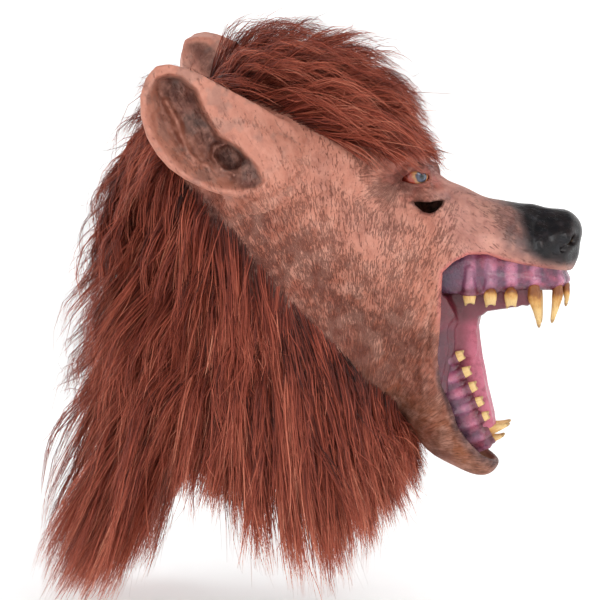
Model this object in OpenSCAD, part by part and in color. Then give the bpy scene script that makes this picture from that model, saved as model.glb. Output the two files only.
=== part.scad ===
// Over-the-head latex wolf mask with a snarling open mouth, fur mane and wired-on teeth.
// Frame: +Z up, the face looks along -Y, the mask's right side is -X, millimetres.
// The origin is the centre of the wearer's head. "Forward" (f) below is the distance along -Y.

/* [Head] */
// Width of the hood over the wearer's temples
head_w = 168; // [160:1:176]
// Height of the hood's crown above the centre of the wearer's head
crown_z = 127; // [122:1:132]
// Distance from the centre of the wearer's head to the back of the hood
back_f = 100; // [96:1:104]
// Height of the neck rim, below the centre of the wearer's head
neck_drop = 100; // [97:1:102]
// Thickness of the latex
wall = 2.6; // [2:0.2:3.2]

/* [Muzzle] */
// Distance from the centre of the wearer's head to the tip of the nose
nose_f = 206; // [202:1:210]
// Width of the nose
nose_w = 52; // [48:1:56]
// Width of the snout half way along
snout_w = 70; // [66:1:74]

/* [Mouth] */
// Angle between the lower jaw and the horizontal, as moulded
gape = 67; // [65:1:69]
// Length of the lower jaw from the back of its gum to the lip of the chin
jaw_len = 95; // [92:1:98]
// How far the jaw can be pushed shut from the moulded gape
jaw_close = 18; // [12:1:20]
// How far the jaw can be pulled further open
jaw_open = 5; // [3:1:6]

/* [Teeth] */
// Length of an upper canine below the gum
canine_len = 25; // [23:1:28]
// Length of an upper corner incisor below the gum
corner_len = 22; // [19:1:23]
// Length of an upper cheek tooth below the gum
cheek_tooth_len = 12; // [10:1:13]
// Width of an upper cheek tooth
cheek_tooth_w = 10; // [9:0.5:11]
// Length of a lower canine above the gum
low_canine_len = 18; // [16:1:20]
// Height of a lower cheek tooth above the gum
low_tooth_len = 8.5; // [7:0.5:9]

/* [Eyes] */
// Radius of a sculpted eyeball
eye_r = 11; // [10:0.5:12]
// Length of a vision slit
slit_l = 20; // [18:1:22]
// Height of a vision slit
slit_h = 7; // [6:0.5:8]

/* [Ears] */
// Length of an ear from its root to its tip
ear_len = 114; // [108:1:118]
// Width of an ear across its cup
ear_w = 64; // [60:1:66]
// Backward lean of the right ear from upright
ear_lean_r = 44; // [42:1:46]
// Backward lean of the left ear, which stands a little higher
ear_lean_l = 46; // [44:1:48]
// Outward flare of the ears
ear_flare = 12; // [9:1:14]

/* [Fur] */
// Depth of the fur over the crown
crown_fur = 22; // [18:1:24]
// Depth of the fur over the nape
nape_fur = 26; // [22:1:28]
// Length of the back tail of the mane below the neck rim
back_tail = 134; // [125:1:140]
// Length of the side tails of the mane below the neck rim
side_tail = 102; // [95:1:108]

/* [Hidden] */
SIDES = ["right", "left"];
UPPER_TEETH = ["molar", "rear_premolar", "front_premolar", "canine", "corner_incisor", "incisor"];
LOWER_TEETH = ["rear_molar", "molar", "rear_premolar", "premolar", "front_premolar", "canine", "incisor"];

BIG = 400;
GAP = 0.3; // clearance between neighbouring pieces
neck_z = -neck_drop;
head_r = head_w / 2;

// Stations of the skin: [f, z, half width, half length, half height]
CRANIUM = [-12, crown_z - 92, head_r, back_f - 12, 92];
NECK = [-8, -85, head_r - 2, 86, 60];
FOREHEAD = [40, 42, 75, 52, 72];
BROW = [72, 43, 58, 36, 30];
CHEEK = [62, -10, 68, 46, 56];
JOWL = [66, -70, 54, 36, 36];
CORNER = [84, -42, 48, 28, 40];
SNOUT_ROOT = [112, 2, 45, 32, 48];
SNOUT = [152, 2, snout_w / 2, 24, 34];
NOSE = [nose_f - 20, 2, nose_w / 2, 20, 28];
// Each group of stations is spanned by one hull
SKIN = [[CRANIUM, NECK], [CRANIUM, FOREHEAD, CHEEK], [FOREHEAD, BROW, CHEEK], [BROW, CHEEK, SNOUT_ROOT],
    [SNOUT_ROOT, SNOUT], [SNOUT, NOSE], [CHEEK, JOWL, NECK], [CHEEK, CORNER, JOWL], [CORNER, SNOUT_ROOT]];
MUZZLE = [[CORNER, SNOUT_ROOT], [SNOUT_ROOT, SNOUT], [SNOUT, NOSE]];
CRANIAL = [SKIN[0], SKIN[1], SKIN[2], SKIN[6]];

// The face and the hood meet at this distance in front of the wearer's head centre
seam_f = -22;
// Jaw hinge: the latex folds at the corner of the mouth
hinge_f = 98;
hinge_z = -44;
// Angles round the hinge, downwards from straight ahead: where the face ends and where the jaw ends
face_from = 6;
face_to = 105;
sweep_room = 4; // room left beyond the travel
// Back end of the lower gum
gum_back_f = 118;
gum_back_z = -58;

// Side outline of the mouth opening, [f, z], from the corner forward and back along the lower lip
MOUTH = [[108, -24], [118, -12], [135, -6], [155, -4], [178, -9], [250, -11], [250, -170], [153, -150],
    [134, -138], [122, -118], [112, -96], [108, -72], [106, -44]];

// Stations of the lower jaw in its own frame: [forward, up, half width, half length, half height]
JAW_BACK = [2, -26, 47, 14, 20];
JAW_ROOT = [18, -34, 45, 26, 25];
JAW_MID = [50, -34, 38, 28, 20];
CHIN = [jaw_len - 19, -17, 28, 23, 17];
JAW_SKIN = [[JAW_BACK, JAW_ROOT], [JAW_ROOT, JAW_MID], [JAW_MID, CHIN]];

// Side outline above the lower lip
JAW_MOUTH = [[-60, -10], [20, -20], [60, -20], [90, -11], [140, -4], [140, 80], [-60, 80]];

// The gums' U shapes: half width, and [back, front] of the line of the teeth
up_gum_w = 28;
up_gum_f = [106, nose_f - 13];
low_gum_w = 23;
low_gum_a = [-10, jaw_len - 19];
// Where the teeth come out of the gums: height in the head, and height in the jaw's frame
up_gum_z = -26;
low_gum_u = -7;

// Cross-sections of the mouth's floor in the jaw's frame: [forward, half width, height of its top]
FLOOR = [[5, 16.5, -4], [38, 13, -1], [55, 9, -4]];

// Places of the teeth round the gums: [angle from the middle, kind, length, width, lean forward]
UPPER_PLACES = [[78, "cheek", cheek_tooth_len - 2, cheek_tooth_w],
    [68.5, "cheek", cheek_tooth_len - 1, cheek_tooth_w], [58, "cheek", cheek_tooth_len, cheek_tooth_w],
    [44, "point", canine_len, 9.5, 4], [24, "point", corner_len, 7.5, -5], [8, "point", 12, 6, -1]];
LOWER_PLACES = [[77, "cheek", low_tooth_len, 8.5], [69, "cheek", low_tooth_len, 8.5],
    [60.5, "cheek", low_tooth_len, 8.5], [51, "cheek", low_tooth_len, 8], [40, "cheek", low_tooth_len, 7.5],
    [26, "point", low_canine_len, 8, 2], [9, "point", 11, 6.5, 2]];

eye_x = 38;
eye_f = 87;
eye_z = 52;
// Vision slit: [x, f, z], and its turns about X and Z
SLIT_AT = [46, 102, 34];
SLIT_TURN = [-8, 35];
// Roots of the ears, [x, f, z]; the left one is set higher
EAR_ROOT_R = [head_r + 8, -4, 45];
EAR_ROOT_L = [head_r + 1, -12, 74];

// Middle of the back tail, and of the side tails
back_tail_f = -128;
side_tail_f = 22;
side_tail_x = 80;
tail_hinge_z = neck_z - 5;
// Width and thickness of a tail at its fullest
BACK_TAIL = [130, 66];
SIDE_TAIL = [104, 34];
// The fur's backing reaches half_fur to each side over the crown; on the sides it hangs from side_fur_z down
half_fur = 64;
side_fur_z = 26;
// Half size of the hole the fur leaves round the neck, [x, f]
NECK_HOLE = [head_r - 4, 84];

// Fur line from the root of the ear to the brow, and down the cheek, [f, z]
CROWN_LINE = [[-62, 60], [-42, 117], [-9, 101], [24, 84], [39, 77], [115, 74], [115, BIG], [-62, BIG]];
CHEEK_LINE = [[-63, 300], [-63, 50], [-43, 42], [-15, 4], [17, -35], [50, -71], [75, neck_z + 2],
    [-BIG, neck_z + 2], [-BIG, 300]];

// Side outline of the throat lining, and its width
THROAT = [[93, -20], [113.5, -20], [113.5, -36.5], [100, -40], [93, -42]];
throat_w = 62;

// ---- shape helpers ----

// One ellipsoid of the skin, thickened or thinned by grow
module blob(s, grow = 0, facets = 20) {
    translate([0, -s[0], s[1]])
        scale([s[2] + grow, s[3] + grow, s[4] + grow])
            sphere(1, $fn = facets);
}

// The head's form, spanned between its stations
module skin(groups, grow = 0, facets = 20) {
    for (g = groups)
        hull()
            for (s = g)
                blob(s, grow, facets);
}

// A slab across the whole width, from a side outline of [f, z] points
module across(outline, width = BIG) {
    rotate([90, 0, 90])
        linear_extrude(width, center = true)
            polygon([for (p = outline) [-p[0], p[1]]]);
}

// A wedge with its edge on the jaw hinge, between two directions from straight ahead, downwards
module hinge_wedge(from, to) {
    steps = 4;
    across(concat([[hinge_f, hinge_z]],
        [for (i = [0 : steps]) let (a = from + (to - from) * i / steps)
            [hinge_f + BIG * cos(a), hinge_z - BIG * sin(a)]]));
}

// A point on a U-shaped gum, [x, forward], with a from -90 (right end) to 90 (left end)
function arch(w, span, a) = [w * sin(a), span[0] + (span[1] - span[0]) * pow(cos(a), 0.9)];

// The lower jaw's own frame: forward along the jaw, up towards the upper teeth
module in_jaw() {
    translate([0, -gum_back_f, gum_back_z])
        rotate([gape, 0, 0])
            children();
}

module mirrored(side) {
    mirror([side == "left" ? 1 : 0, 0, 0])
        children();
}

// ---- skin ----

module eyeballs(r) {
    for (side = SIDES)
        mirrored(side)
            translate([-eye_x, -eye_f, eye_z])
                sphere(r, $fn = 24);
}

module vision_slits() {
    for (side = SIDES)
        mirrored(side)
            translate([-SLIT_AT[0], -SLIT_AT[1], SLIT_AT[2]])
                rotate([SLIT_TURN[0], 0, SLIT_TURN[1]])
                    cube([60, slit_l, slit_h], center = true);
}

module head_skin() {
    difference() {
        skin(SKIN);
        skin(SKIN, -wall, 18);
        translate([0, 0, neck_z - BIG / 2])
            cube(BIG, center = true);
    }
}

module face_shell() {
    color("rosybrown")
        difference() {
            head_skin();
            translate([0, BIG / 2 - seam_f, 0])
                cube(BIG, center = true);
            across(MOUTH);
            hinge_wedge(face_from, face_to + jaw_open + sweep_room);
            eyeballs(eye_r + GAP);
            vision_slits();
        }
}

module hood_shell() {
    color("sienna")
        difference() {
            head_skin();
            translate([0, -BIG / 2 - seam_f + GAP / 3, 0])
                cube(BIG, center = true);
        }
}

module lower_jaw() {
    color("chocolate")
        difference() {
            in_jaw()
                difference() {
                    skin(JAW_SKIN, 0, 24);
                    skin(JAW_SKIN, -wall, 20);
                    across(JAW_MOUTH);
                }
            // clear of the face over the whole travel
            hinge_wedge(-200, face_from + jaw_close + sweep_room);
            hinge_wedge(face_to, 180);
        }
}

// ---- ears and eyes ----

module ear_cup() {
    difference() {
        union() {
            hull() {
                scale([7, 18, 12]) sphere(1, $fn = 20);
                translate([-2, -1, ear_len * 0.42]) scale([15, ear_w / 2, 26]) sphere(1, $fn = 20);
            }
            hull() {
                translate([-2, -1, ear_len * 0.42]) scale([15, ear_w / 2, 26]) sphere(1, $fn = 20);
                translate([0, 2, ear_len - 22]) scale([10, 20, 22]) sphere(1, $fn = 20);
            }
        }
        // the cup, open outward
        hull() {
            translate([-14, -1, 16]) scale([9, 9, 10]) sphere(1, $fn = 16);
            translate([-16, -1, ear_len * 0.42]) scale([21, ear_w / 2 - 7, 22]) sphere(1, $fn = 16);
            translate([-12, 2, ear_len - 25]) scale([15, 14, 16]) sphere(1, $fn = 16);
        }
    }
}

module ear(side, root, lean) {
    color("rosybrown")
        mirrored(side)
            translate([-root[0], -root[1], root[2]])
                rotate([-lean, 0, ear_flare])
                    ear_cup();
}

module eye(side) {
    color("khaki")
        mirrored(side)
            translate([-eye_x, -eye_f, eye_z])
                sphere(eye_r, $fn = 32);
}

// ---- mouth ----

module palate() {
    color("palevioletred")
        hull() {
            translate([-24, -116, up_gum_z - 10]) cube([48, 2, 22]);
            translate([-19, -150, up_gum_z - 11]) cube([38, 2, 20]);
            translate([-11, -176, up_gum_z - 9]) cube([22, 2, 16]);
        }
}

// The wall that closes the throat behind the palate; it hangs clear of the jaw
module throat_lining() {
    color("maroon")
        difference() {
            across(THROAT, throat_w);
            hinge_wedge(-8, 180);
        }
}

module mouth_floor() {
    color("palevioletred")
        in_jaw()
            hull() {
                for (c = FLOOR)
                    translate([-c[1], -c[0] - 2, -16])
                        cube([2 * c[1], 4, 16 + c[2]]);
            }
}

// A gum: overlapping lumps along a U
module gum_arch(w, span, z, r_out, r_up) {
    bumps = 10;
    for (i = [0 : bumps - 1])
        hull()
            for (k = [i, i + 1]) {
                p = arch(w, span, -88 + 176 * k / bumps);
                translate([p[0], -p[1], z])
                    scale([r_out, r_out, r_up])
                        sphere(1, $fn = 12);
            }
}

// The latex of the muzzle with room round it, for seating the gum inside
module muzzle_wall() {
    difference() {
        skin(MUZZLE, 10);
        skin(MUZZLE, -wall - GAP, 18);
        across(MOUTH);
    }
}

module upper_gum() {
    color("plum")
        difference() {
            gum_arch(up_gum_w, up_gum_f, up_gum_z + 10, 6, 11);
            muzzle_wall();
            palate();
            throat_lining();
        }
}

module lower_gum() {
    color("plum")
        difference() {
            in_jaw()
                difference() {
                    gum_arch(low_gum_w, low_gum_a, low_gum_u - 8, 5.5, 9);
                    // seated inside the jaw's lip
                    difference() {
                        skin(JAW_SKIN, 10);
                        skin(JAW_SKIN, -wall - GAP, 20);
                        across(JAW_MOUTH);
                    }
                }
            mouth_floor();
            // clear of the throat when the jaw is pushed shut
            hinge_wedge(-200, jaw_close + sweep_room - 6);
        }
}

// ---- teeth: point along -Z, root at z = 0, leaning towards +f by lean ----

module pointed_tooth(len, w, lean) {
    hull() {
        scale([w * 0.42, w * 0.5, w * 0.3]) sphere(1, $fn = 12);
        translate([0, -lean * 0.25, -len * 0.45]) scale([w * 0.38, w * 0.42, 2]) sphere(1, $fn = 10);
        translate([0, -lean, -len + 1.2]) sphere(1.2, $fn = 8);
    }
}

// A cheek tooth has a cusp at the front and a cusp at the back
module cheek_tooth(len, w) {
    for (end = [-1, 1])
        hull() {
            scale([w * 0.4, w * 0.45, w * 0.3]) sphere(1, $fn = 12);
            translate([0, end * w * 0.36, -len + 1]) sphere(1.1, $fn = 8);
        }
}

module upper_tooth(i, side) {
    place = UPPER_PLACES[i];
    p = arch(up_gum_w, up_gum_f, -place[0]);
    color("wheat")
        difference() {
            mirrored(side)
                translate([p[0], -p[1], up_gum_z])
                    if (place[1] == "cheek")
                        rotate([0, 0, 90 - place[0]])
                            cheek_tooth(place[2], place[3]);
                    else
                        pointed_tooth(place[2], place[3], place[4]);
            upper_gum();
        }
}

module lower_tooth(i, side) {
    place = LOWER_PLACES[i];
    p = arch(low_gum_w, low_gum_a, -place[0]);
    color("burlywood")
        difference() {
            mirrored(side)
                in_jaw()
                    translate([p[0], -p[1], low_gum_u])
                        mirror([0, 0, 1])
                            if (place[1] == "cheek")
                                rotate([0, 0, 90 - place[0]])
                                    cheek_tooth(place[2], place[3]);
                            else
                                pointed_tooth(place[2], place[3], place[4]);
            lower_gum();
            mouth_floor();
        }
}

// ---- fur ----

// Everything above the fur line that runs from the root of the ear to the brow
module above_fur_line() {
    across(CROWN_LINE, half_fur * 2);
}

module fur_crown() {
    color("saddlebrown")
        difference() {
            intersection() {
                skin(CRANIAL, crown_fur, 24);
                above_fur_line();
            }
            skin(SKIN, GAP);
        }
}

// Everything behind the ears and behind the fur line down the cheek
module behind_fur_line() {
    across(CHEEK_LINE);
}

module fur_nape() {
    color("saddlebrown")
        difference() {
            intersection() {
                skin(CRANIAL, nape_fur, 24);
                behind_fur_line();
                union() {
                    cube([half_fur * 2, BIG, BIG * 2], center = true);
                    translate([-BIG / 2, -BIG / 2, -BIG + side_fur_z]) cube(BIG);
                }
            }
            skin(SKIN, GAP);
            // open at the neck
            translate([0, 0, -BIG / 2 - 60])
                linear_extrude(BIG, center = true)
                    scale(NECK_HOLE)
                        circle(1, $fn = 32);
        }
}

// A hanging tail of fur, thin at the top where it is sewn on, in its own frame
module tail(wide, thick, drop) {
    hull() {
        rotate([0, 90, 0]) cylinder(r = 3, h = wide * 0.8, center = true, $fn = 12);
        for (x = [-1, 1])
            translate([x * wide * 0.3, 0, -drop * 0.45])
                scale([wide * 0.2, thick / 2, drop * 0.2])
                    sphere(1, $fn = 16);
        translate([0, 0, -drop + 10]) scale([wide * 0.22, thick * 0.25, 10]) sphere(1, $fn = 16);
    }
}

module mane_back() {
    color("sienna")
        translate([0, -back_tail_f, tail_hinge_z])
            tail(BACK_TAIL[0], BACK_TAIL[1], back_tail);
}

module mane_side(side) {
    color("sienna")
        mirrored(side)
            translate([-side_tail_x, -side_tail_f, tail_hinge_z])
                rotate([0, 0, 90])
                    tail(SIDE_TAIL[0], SIDE_TAIL[1], side_tail);
}

// ---- the mask ----

face_shell();
hood_shell();
lower_jaw();
ear("right", EAR_ROOT_R, ear_lean_r);  // ear_right
ear("left", EAR_ROOT_L, ear_lean_l);  // ear_left
eye("right");  // eye_right
eye("left");  // eye_left
palate();
throat_lining();
mouth_floor();
upper_gum();
lower_gum();
for (side = SIDES) {
    for (i = [0 : len(UPPER_TEETH) - 1])
        upper_tooth(i, side);
    for (i = [0 : len(LOWER_TEETH) - 1])
        lower_tooth(i, side);
}
fur_crown();
fur_nape();
mane_back();
mane_side("right");  // mane_right
mane_side("left");  // mane_left
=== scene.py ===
"""Looks of the latex wolf mask: a moulded and painted latex skin, gums, teeth, eyes and long faux fur.

Everything organic is a signed distance field on a grid, turned into a mesh by surface nets.
Fields are in millimetres, with axes x (mask's left), f (forward, which is -Y) and z (up).
"""
import math

import bpy
import numpy as np
from mathutils import Matrix, Vector
from mathutils.kdtree import KDTree


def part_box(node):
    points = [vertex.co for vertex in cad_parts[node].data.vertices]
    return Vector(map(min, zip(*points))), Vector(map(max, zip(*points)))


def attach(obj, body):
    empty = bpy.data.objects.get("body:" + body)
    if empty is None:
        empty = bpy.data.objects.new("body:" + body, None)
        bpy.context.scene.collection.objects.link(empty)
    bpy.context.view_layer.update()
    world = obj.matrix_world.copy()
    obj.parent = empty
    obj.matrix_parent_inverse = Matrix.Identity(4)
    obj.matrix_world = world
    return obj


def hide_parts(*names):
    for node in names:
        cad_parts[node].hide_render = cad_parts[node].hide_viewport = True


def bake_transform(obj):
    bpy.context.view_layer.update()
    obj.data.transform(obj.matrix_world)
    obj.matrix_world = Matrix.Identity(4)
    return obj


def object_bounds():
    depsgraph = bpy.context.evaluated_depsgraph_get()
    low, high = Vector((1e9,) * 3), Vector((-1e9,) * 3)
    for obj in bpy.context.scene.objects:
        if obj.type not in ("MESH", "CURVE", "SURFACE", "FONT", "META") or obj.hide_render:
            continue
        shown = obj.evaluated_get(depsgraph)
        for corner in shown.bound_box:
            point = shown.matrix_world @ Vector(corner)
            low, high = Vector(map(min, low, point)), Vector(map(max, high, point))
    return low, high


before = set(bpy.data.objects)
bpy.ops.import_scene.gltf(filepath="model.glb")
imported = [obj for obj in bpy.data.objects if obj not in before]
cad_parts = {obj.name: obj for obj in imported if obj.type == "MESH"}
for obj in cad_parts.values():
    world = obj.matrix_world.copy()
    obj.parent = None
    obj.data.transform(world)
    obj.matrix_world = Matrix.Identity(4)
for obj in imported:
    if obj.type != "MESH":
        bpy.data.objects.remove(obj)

cad_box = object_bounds()
MM = 0.001
F32 = np.float32
SIDES = (("right", -1), ("left", 1))


# ---------------------------------------------------------------- noise

NOISE_SIZE = 64
LATTICE = np.random.default_rng(7).random((NOISE_SIZE,) * 3).astype(F32)


def value_noise(p):
    """Smooth noise from 0 to 1 at points p, which has three columns, one lattice cell to a unit."""
    base = np.floor(p).astype(np.int64)
    t = (p - base).astype(F32)
    t = t * t * (3 - 2 * t)
    total = np.zeros(len(p), F32)
    for corner in range(8):
        step = np.array([corner >> 2 & 1, corner >> 1 & 1, corner & 1])
        i = (base + step) % NOISE_SIZE
        weight = np.prod(np.where(step, t, 1 - t), axis=1)
        total += weight * LATTICE[i[:, 0], i[:, 1], i[:, 2]]
    return total


def fractal_noise(p, octaves):
    """Noise of several sizes, from about -1 to 1."""
    total = sum(0.5**k * (value_noise(p * 2**k + 17 * k) - 0.5) for k in range(octaves))
    return total * 2


# ---------------------------------------------------------------- distance fields


def smoothstep(a, b, v):
    """0 up to a, 1 from b, and a smooth rise between; a may be the larger."""
    t = np.clip((v - a) / (b - a), 0, 1)
    return t * t * (3 - 2 * t)


def unit(v):
    """Vectors made 1 long."""
    return v / np.maximum(np.linalg.norm(v, axis=-1, keepdims=True), 1e-9)


def union(a, b, k):
    """Both shapes, with a fillet about k wide."""
    h = np.clip(0.5 + 0.5 * (b - a) / k, 0, 1)
    return b + (a - b) * h - k * h * (1 - h)


def cut(a, b, k):
    """The first shape without the second, with its edge rounded by about k."""
    return -union(-a, b, k)


def ellipsoid(p, centre, radii):
    q = [a - F32(c) for a, c in zip(p, centre)]
    k0 = np.sqrt(sum((a / F32(r)) ** 2 for a, r in zip(q, radii)))
    k1 = np.sqrt(sum((a / F32(r * r)) ** 2 for a, r in zip(q, radii)))
    return k0 * (k0 - 1) / np.maximum(k1, F32(1e-5))


def capsule(p, a, b, ra, rb):
    """A rod from a to b, with radius ra at a and rb at b."""
    ab = [float(v - u) for u, v in zip(a, b)]
    length2 = sum(v * v for v in ab)
    t = np.clip(sum((q - F32(u)) * F32(v) for q, u, v in zip(p, a, ab)) / F32(length2), 0, 1)
    d2 = sum((q - F32(u) - F32(v) * t) ** 2 for q, u, v in zip(p, a, ab))
    return np.sqrt(d2) - (ra + (rb - ra) * t)


def path_rod(p, points, radii, k):
    """A rod along several points, with fillets about k wide at them."""
    d = None
    for a, b, ra, rb in zip(points, points[1:], radii, radii[1:]):
        rod = capsule(p, a, b, ra, rb)
        d = rod if d is None else union(d, rod, k)
    return d


def loft(p, stations, steps, k):
    """A limb through ellipsoids given as [x, f, z, rx, rf, rz]."""
    stations = np.array(stations, float)
    d = None
    for a, b in zip(stations, stations[1:]):
        for i in range(steps):
            s = a + (b - a) * i / steps
            e = ellipsoid(p, s[:3], s[3:])
            d = e if d is None else union(d, e, k)
    return union(d, ellipsoid(p, stations[-1][:3], stations[-1][3:]), k)


def line_distance2(u, v, line):
    """The square of the distance to an open line in two of the axes."""
    d2 = None
    for (au, av), (bu, bv) in zip(line, line[1:]):
        eu, ev = bu - au, bv - av
        t = np.clip(((u - F32(au)) * F32(eu) + (v - F32(av)) * F32(ev)) / F32(eu * eu + ev * ev), 0, 1)
        e2 = (u - F32(au) - F32(eu) * t) ** 2 + (v - F32(av) - F32(ev) * t) ** 2
        d2 = e2 if d2 is None else np.minimum(d2, e2)
    return d2


def polygon(u, v, outline):
    """Signed distance to a closed outline in two of the axes."""
    pts = np.array(outline, F32)
    d2 = np.full(np.broadcast(u, v).shape, F32(1e9))
    inside = np.zeros(d2.shape, bool)
    for (au, av), (bu, bv) in zip(pts, np.roll(pts, -1, axis=0)):
        eu, ev = bu - au, bv - av
        t = np.clip(((u - au) * eu + (v - av) * ev) / (eu * eu + ev * ev), 0, 1)
        d2 = np.minimum(d2, (u - au - eu * t) ** 2 + (v - av - ev * t) ** 2)
        crosses = (av <= v) != (bv <= v)
        if ev != 0:
            inside ^= crosses & (u < au + (v - av) / ev * eu)
    d = np.sqrt(d2)
    return np.where(inside, -d, d)


class Grid:
    """A box of sample points, low to high, in millimetres."""

    def __init__(self, low, high, step):
        self.low = np.array(low, float)
        self.step = step
        counts = np.ceil((np.array(high) - self.low) / step).astype(int) + 1
        axes = [(self.low[i] + step * np.arange(counts[i])).astype(F32) for i in range(3)]
        self.points = (axes[0][:, None, None], axes[1][None, :, None], axes[2][None, None, :])
        self.shape = tuple(counts)

    def net(self, field):
        """Vertices in millimetres and quads of the surface where the field is 0."""
        field = np.ascontiguousarray(np.broadcast_to(field, self.shape), dtype=F32)
        inside = field < 0
        count = np.zeros([n - 1 for n in self.shape], np.int8)
        for corner in np.ndindex(2, 2, 2):
            count += inside[tuple(slice(c, c + n) for c, n in zip(corner, count.shape))]
        cells = np.argwhere((count > 0) & (count < 8))
        total = np.zeros((len(cells), 3), F32)
        hits = np.zeros(len(cells), F32)
        for axis in range(3):
            others = [a for a in range(3) if a != axis]
            for k in range(4):
                start = np.zeros(3, int)
                start[others[0]], start[others[1]] = k & 1, k >> 1
                a = cells + start
                b = a.copy()
                b[:, axis] += 1
                va, vb = field[tuple(a.T)], field[tuple(b.T)]
                cross = (va < 0) != (vb < 0)
                t = np.where(cross, va / np.where(cross, va - vb, 1), 0)
                point = np.repeat(start[None, :].astype(F32), len(cells), axis=0)
                point[:, axis] = t
                total += point * cross[:, None]
                hits += cross
        verts = (cells + total / hits[:, None]) * self.step + self.low
        index = np.full(count.shape, -1, np.int64)
        index[tuple(cells.T)] = np.arange(len(cells))
        quads = []
        for axis in range(3):
            o1, o2 = [(1, 2), (2, 0), (0, 1)][axis]
            lo = [slice(0, -1)] * 3
            hi = [slice(0, -1)] * 3
            hi[axis] = slice(1, None)
            lo[o1] = hi[o1] = slice(1, -1)
            lo[o2] = hi[o2] = slice(1, -1)
            va, vb = inside[tuple(lo)], inside[tuple(hi)]
            edges = np.argwhere(va != vb)
            edges[:, o1] += 1
            edges[:, o2] += 1
            starts_inside = inside[tuple(edges.T)]
            ring = []
            for d1, d2 in ((-1, -1), (0, -1), (0, 0), (-1, 0)):
                c = edges.copy()
                c[:, o1] += d1
                c[:, o2] += d2
                ring.append(index[tuple(c.T)])
            ring = np.stack(ring, axis=1)
            ring[~starts_inside] = ring[~starts_inside][:, ::-1]
            quads.append(ring)
        return verts.astype(np.float64), np.concatenate(quads)

    def sample(self, field, v):
        """The field's values at points v, one to a row."""
        at = (v - self.low) / self.step
        base = np.clip(np.floor(at).astype(np.int64), 0, np.array(self.shape) - 2)
        t = np.clip(at - base, 0, 1).astype(F32)
        value = np.zeros(len(v), F32)
        for corner in np.ndindex(2, 2, 2):
            wx, wf, wz = [t[:, axis] if far else 1 - t[:, axis] for axis, far in enumerate(corner)]
            value += field[tuple((base + corner).T)] * wx * wf * wz
        return value


def relax(verts, quads, rounds=2, amount=0.5):
    """Evens a net out, without shrinking it."""
    n = len(verts)
    a = quads.ravel()
    b = np.roll(quads, -1, axis=1).ravel()
    degree = np.bincount(a, minlength=n) + np.bincount(b, minlength=n)
    for i in range(rounds * 2):
        mean = np.zeros_like(verts)
        for axis in range(3):
            mean[:, axis] = np.bincount(a, verts[b, axis], n) + np.bincount(b, verts[a, axis], n)
        mean /= np.maximum(degree, 1)[:, None]
        verts = verts + (mean - verts) * (amount if i % 2 == 0 else -amount * 1.04)
    return verts


def normals_of(verts, quads):
    """Outward normals of a net's vertices."""
    n = np.cross(verts[quads[:, 2]] - verts[quads[:, 0]], verts[quads[:, 3]] - verts[quads[:, 1]])
    out = np.zeros_like(verts)
    for axis in range(3):
        for k in range(4):
            out[:, axis] += np.bincount(quads[:, k], n[:, axis], len(verts))
    return unit(out)


# ---------------------------------------------------------------- meshes


def to_frame(v):
    """Field millimetres (x, f, z) to the frame's metres (x, y, z)."""
    return np.stack([v[:, 0], -v[:, 1], v[:, 2]], axis=1) * MM


def keep_faces(quads, keep, count):
    """The kept quads, and which of the vertices they use."""
    quads = quads[keep]
    used = np.zeros(count, bool)
    used[quads.ravel()] = True
    renumber = np.cumsum(used) - 1
    return renumber[quads], used


def new_object(name, data):
    obj = bpy.data.objects.new(name, data)
    bpy.context.scene.collection.objects.link(obj)
    return obj


def add_piece(name, verts, faces, materials, attributes=None, face_slots=None, normals=None):
    """A mesh object. verts are in field millimetres; faces is an array with one face to a row."""
    faces = np.asarray(faces)[:, ::-1]  # mirroring y turns the faces round
    mesh = bpy.data.meshes.new(name)
    mesh.vertices.add(len(verts))
    mesh.vertices.foreach_set("co", to_frame(verts).astype(F32).ravel())
    side = faces.shape[1]
    mesh.loops.add(faces.size)
    mesh.loops.foreach_set("vertex_index", faces.astype(np.int32).ravel())
    mesh.polygons.add(len(faces))
    mesh.polygons.foreach_set("loop_start", np.arange(0, faces.size, side, dtype=np.int32))
    if face_slots is not None:
        mesh.polygons.foreach_set("material_index", face_slots.astype(np.int32))
    mesh.update(calc_edges=True)
    mesh.shade_smooth()
    for key, values in (attributes or {}).items():
        values = np.asarray(values, F32)
        if values.ndim == 1:
            layer = mesh.attributes.new(key, "FLOAT", "POINT")
            layer.data.foreach_set("value", values)
        elif key.startswith("paint"):
            layer = mesh.attributes.new(key, "FLOAT_COLOR", "POINT")
            rgba = np.concatenate([values, np.ones((len(values), 1), F32)], axis=1)
            layer.data.foreach_set("color", rgba.ravel())
        else:
            layer = mesh.attributes.new(key, "FLOAT_VECTOR", "POINT")
            layer.data.foreach_set("vector", values.ravel())
    if normals is not None:
        mesh.normals_split_custom_set_from_vertices((normals * [1, -1, 1]).astype(F32))
    for m in materials:
        mesh.materials.append(m)
    return new_object(name, mesh)


# ---------------------------------------------------------------- the mask's form

STEP = 1.5
WALL = 4.4
JAW_HINGE = np.array([98.0, -44.0])  # forward and up
JAW_ANGLE = math.radians(67)
JAW_ORIGIN = (118.0, -58.0)
NECK_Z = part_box("hood_shell")[0][2] / MM

# Stations of the skin: [x, f, z, rx, rf, rz]
CRANIUM = [0, -12, 35, 83, 87, 91]
NECK = [0, -8, -85, 81, 85, 60]
FOREHEAD = [0, 40, 40, 74, 50, 70]
BROW = [0, 68, 40, 55, 32, 28]
CHEEK = [0, 62, -10, 67, 44, 54]
JOWL = [0, 66, -70, 53, 35, 36]
CORNER = [0, 88, -42, 47, 33, 40]
SNOUT_ROOT = [0, 112, -1, 42, 28, 44]
SNOUT = [0, 152, 2, 33, 24, 31]
NOSE = [0, 180, -1, 24, 18, 25]
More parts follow.
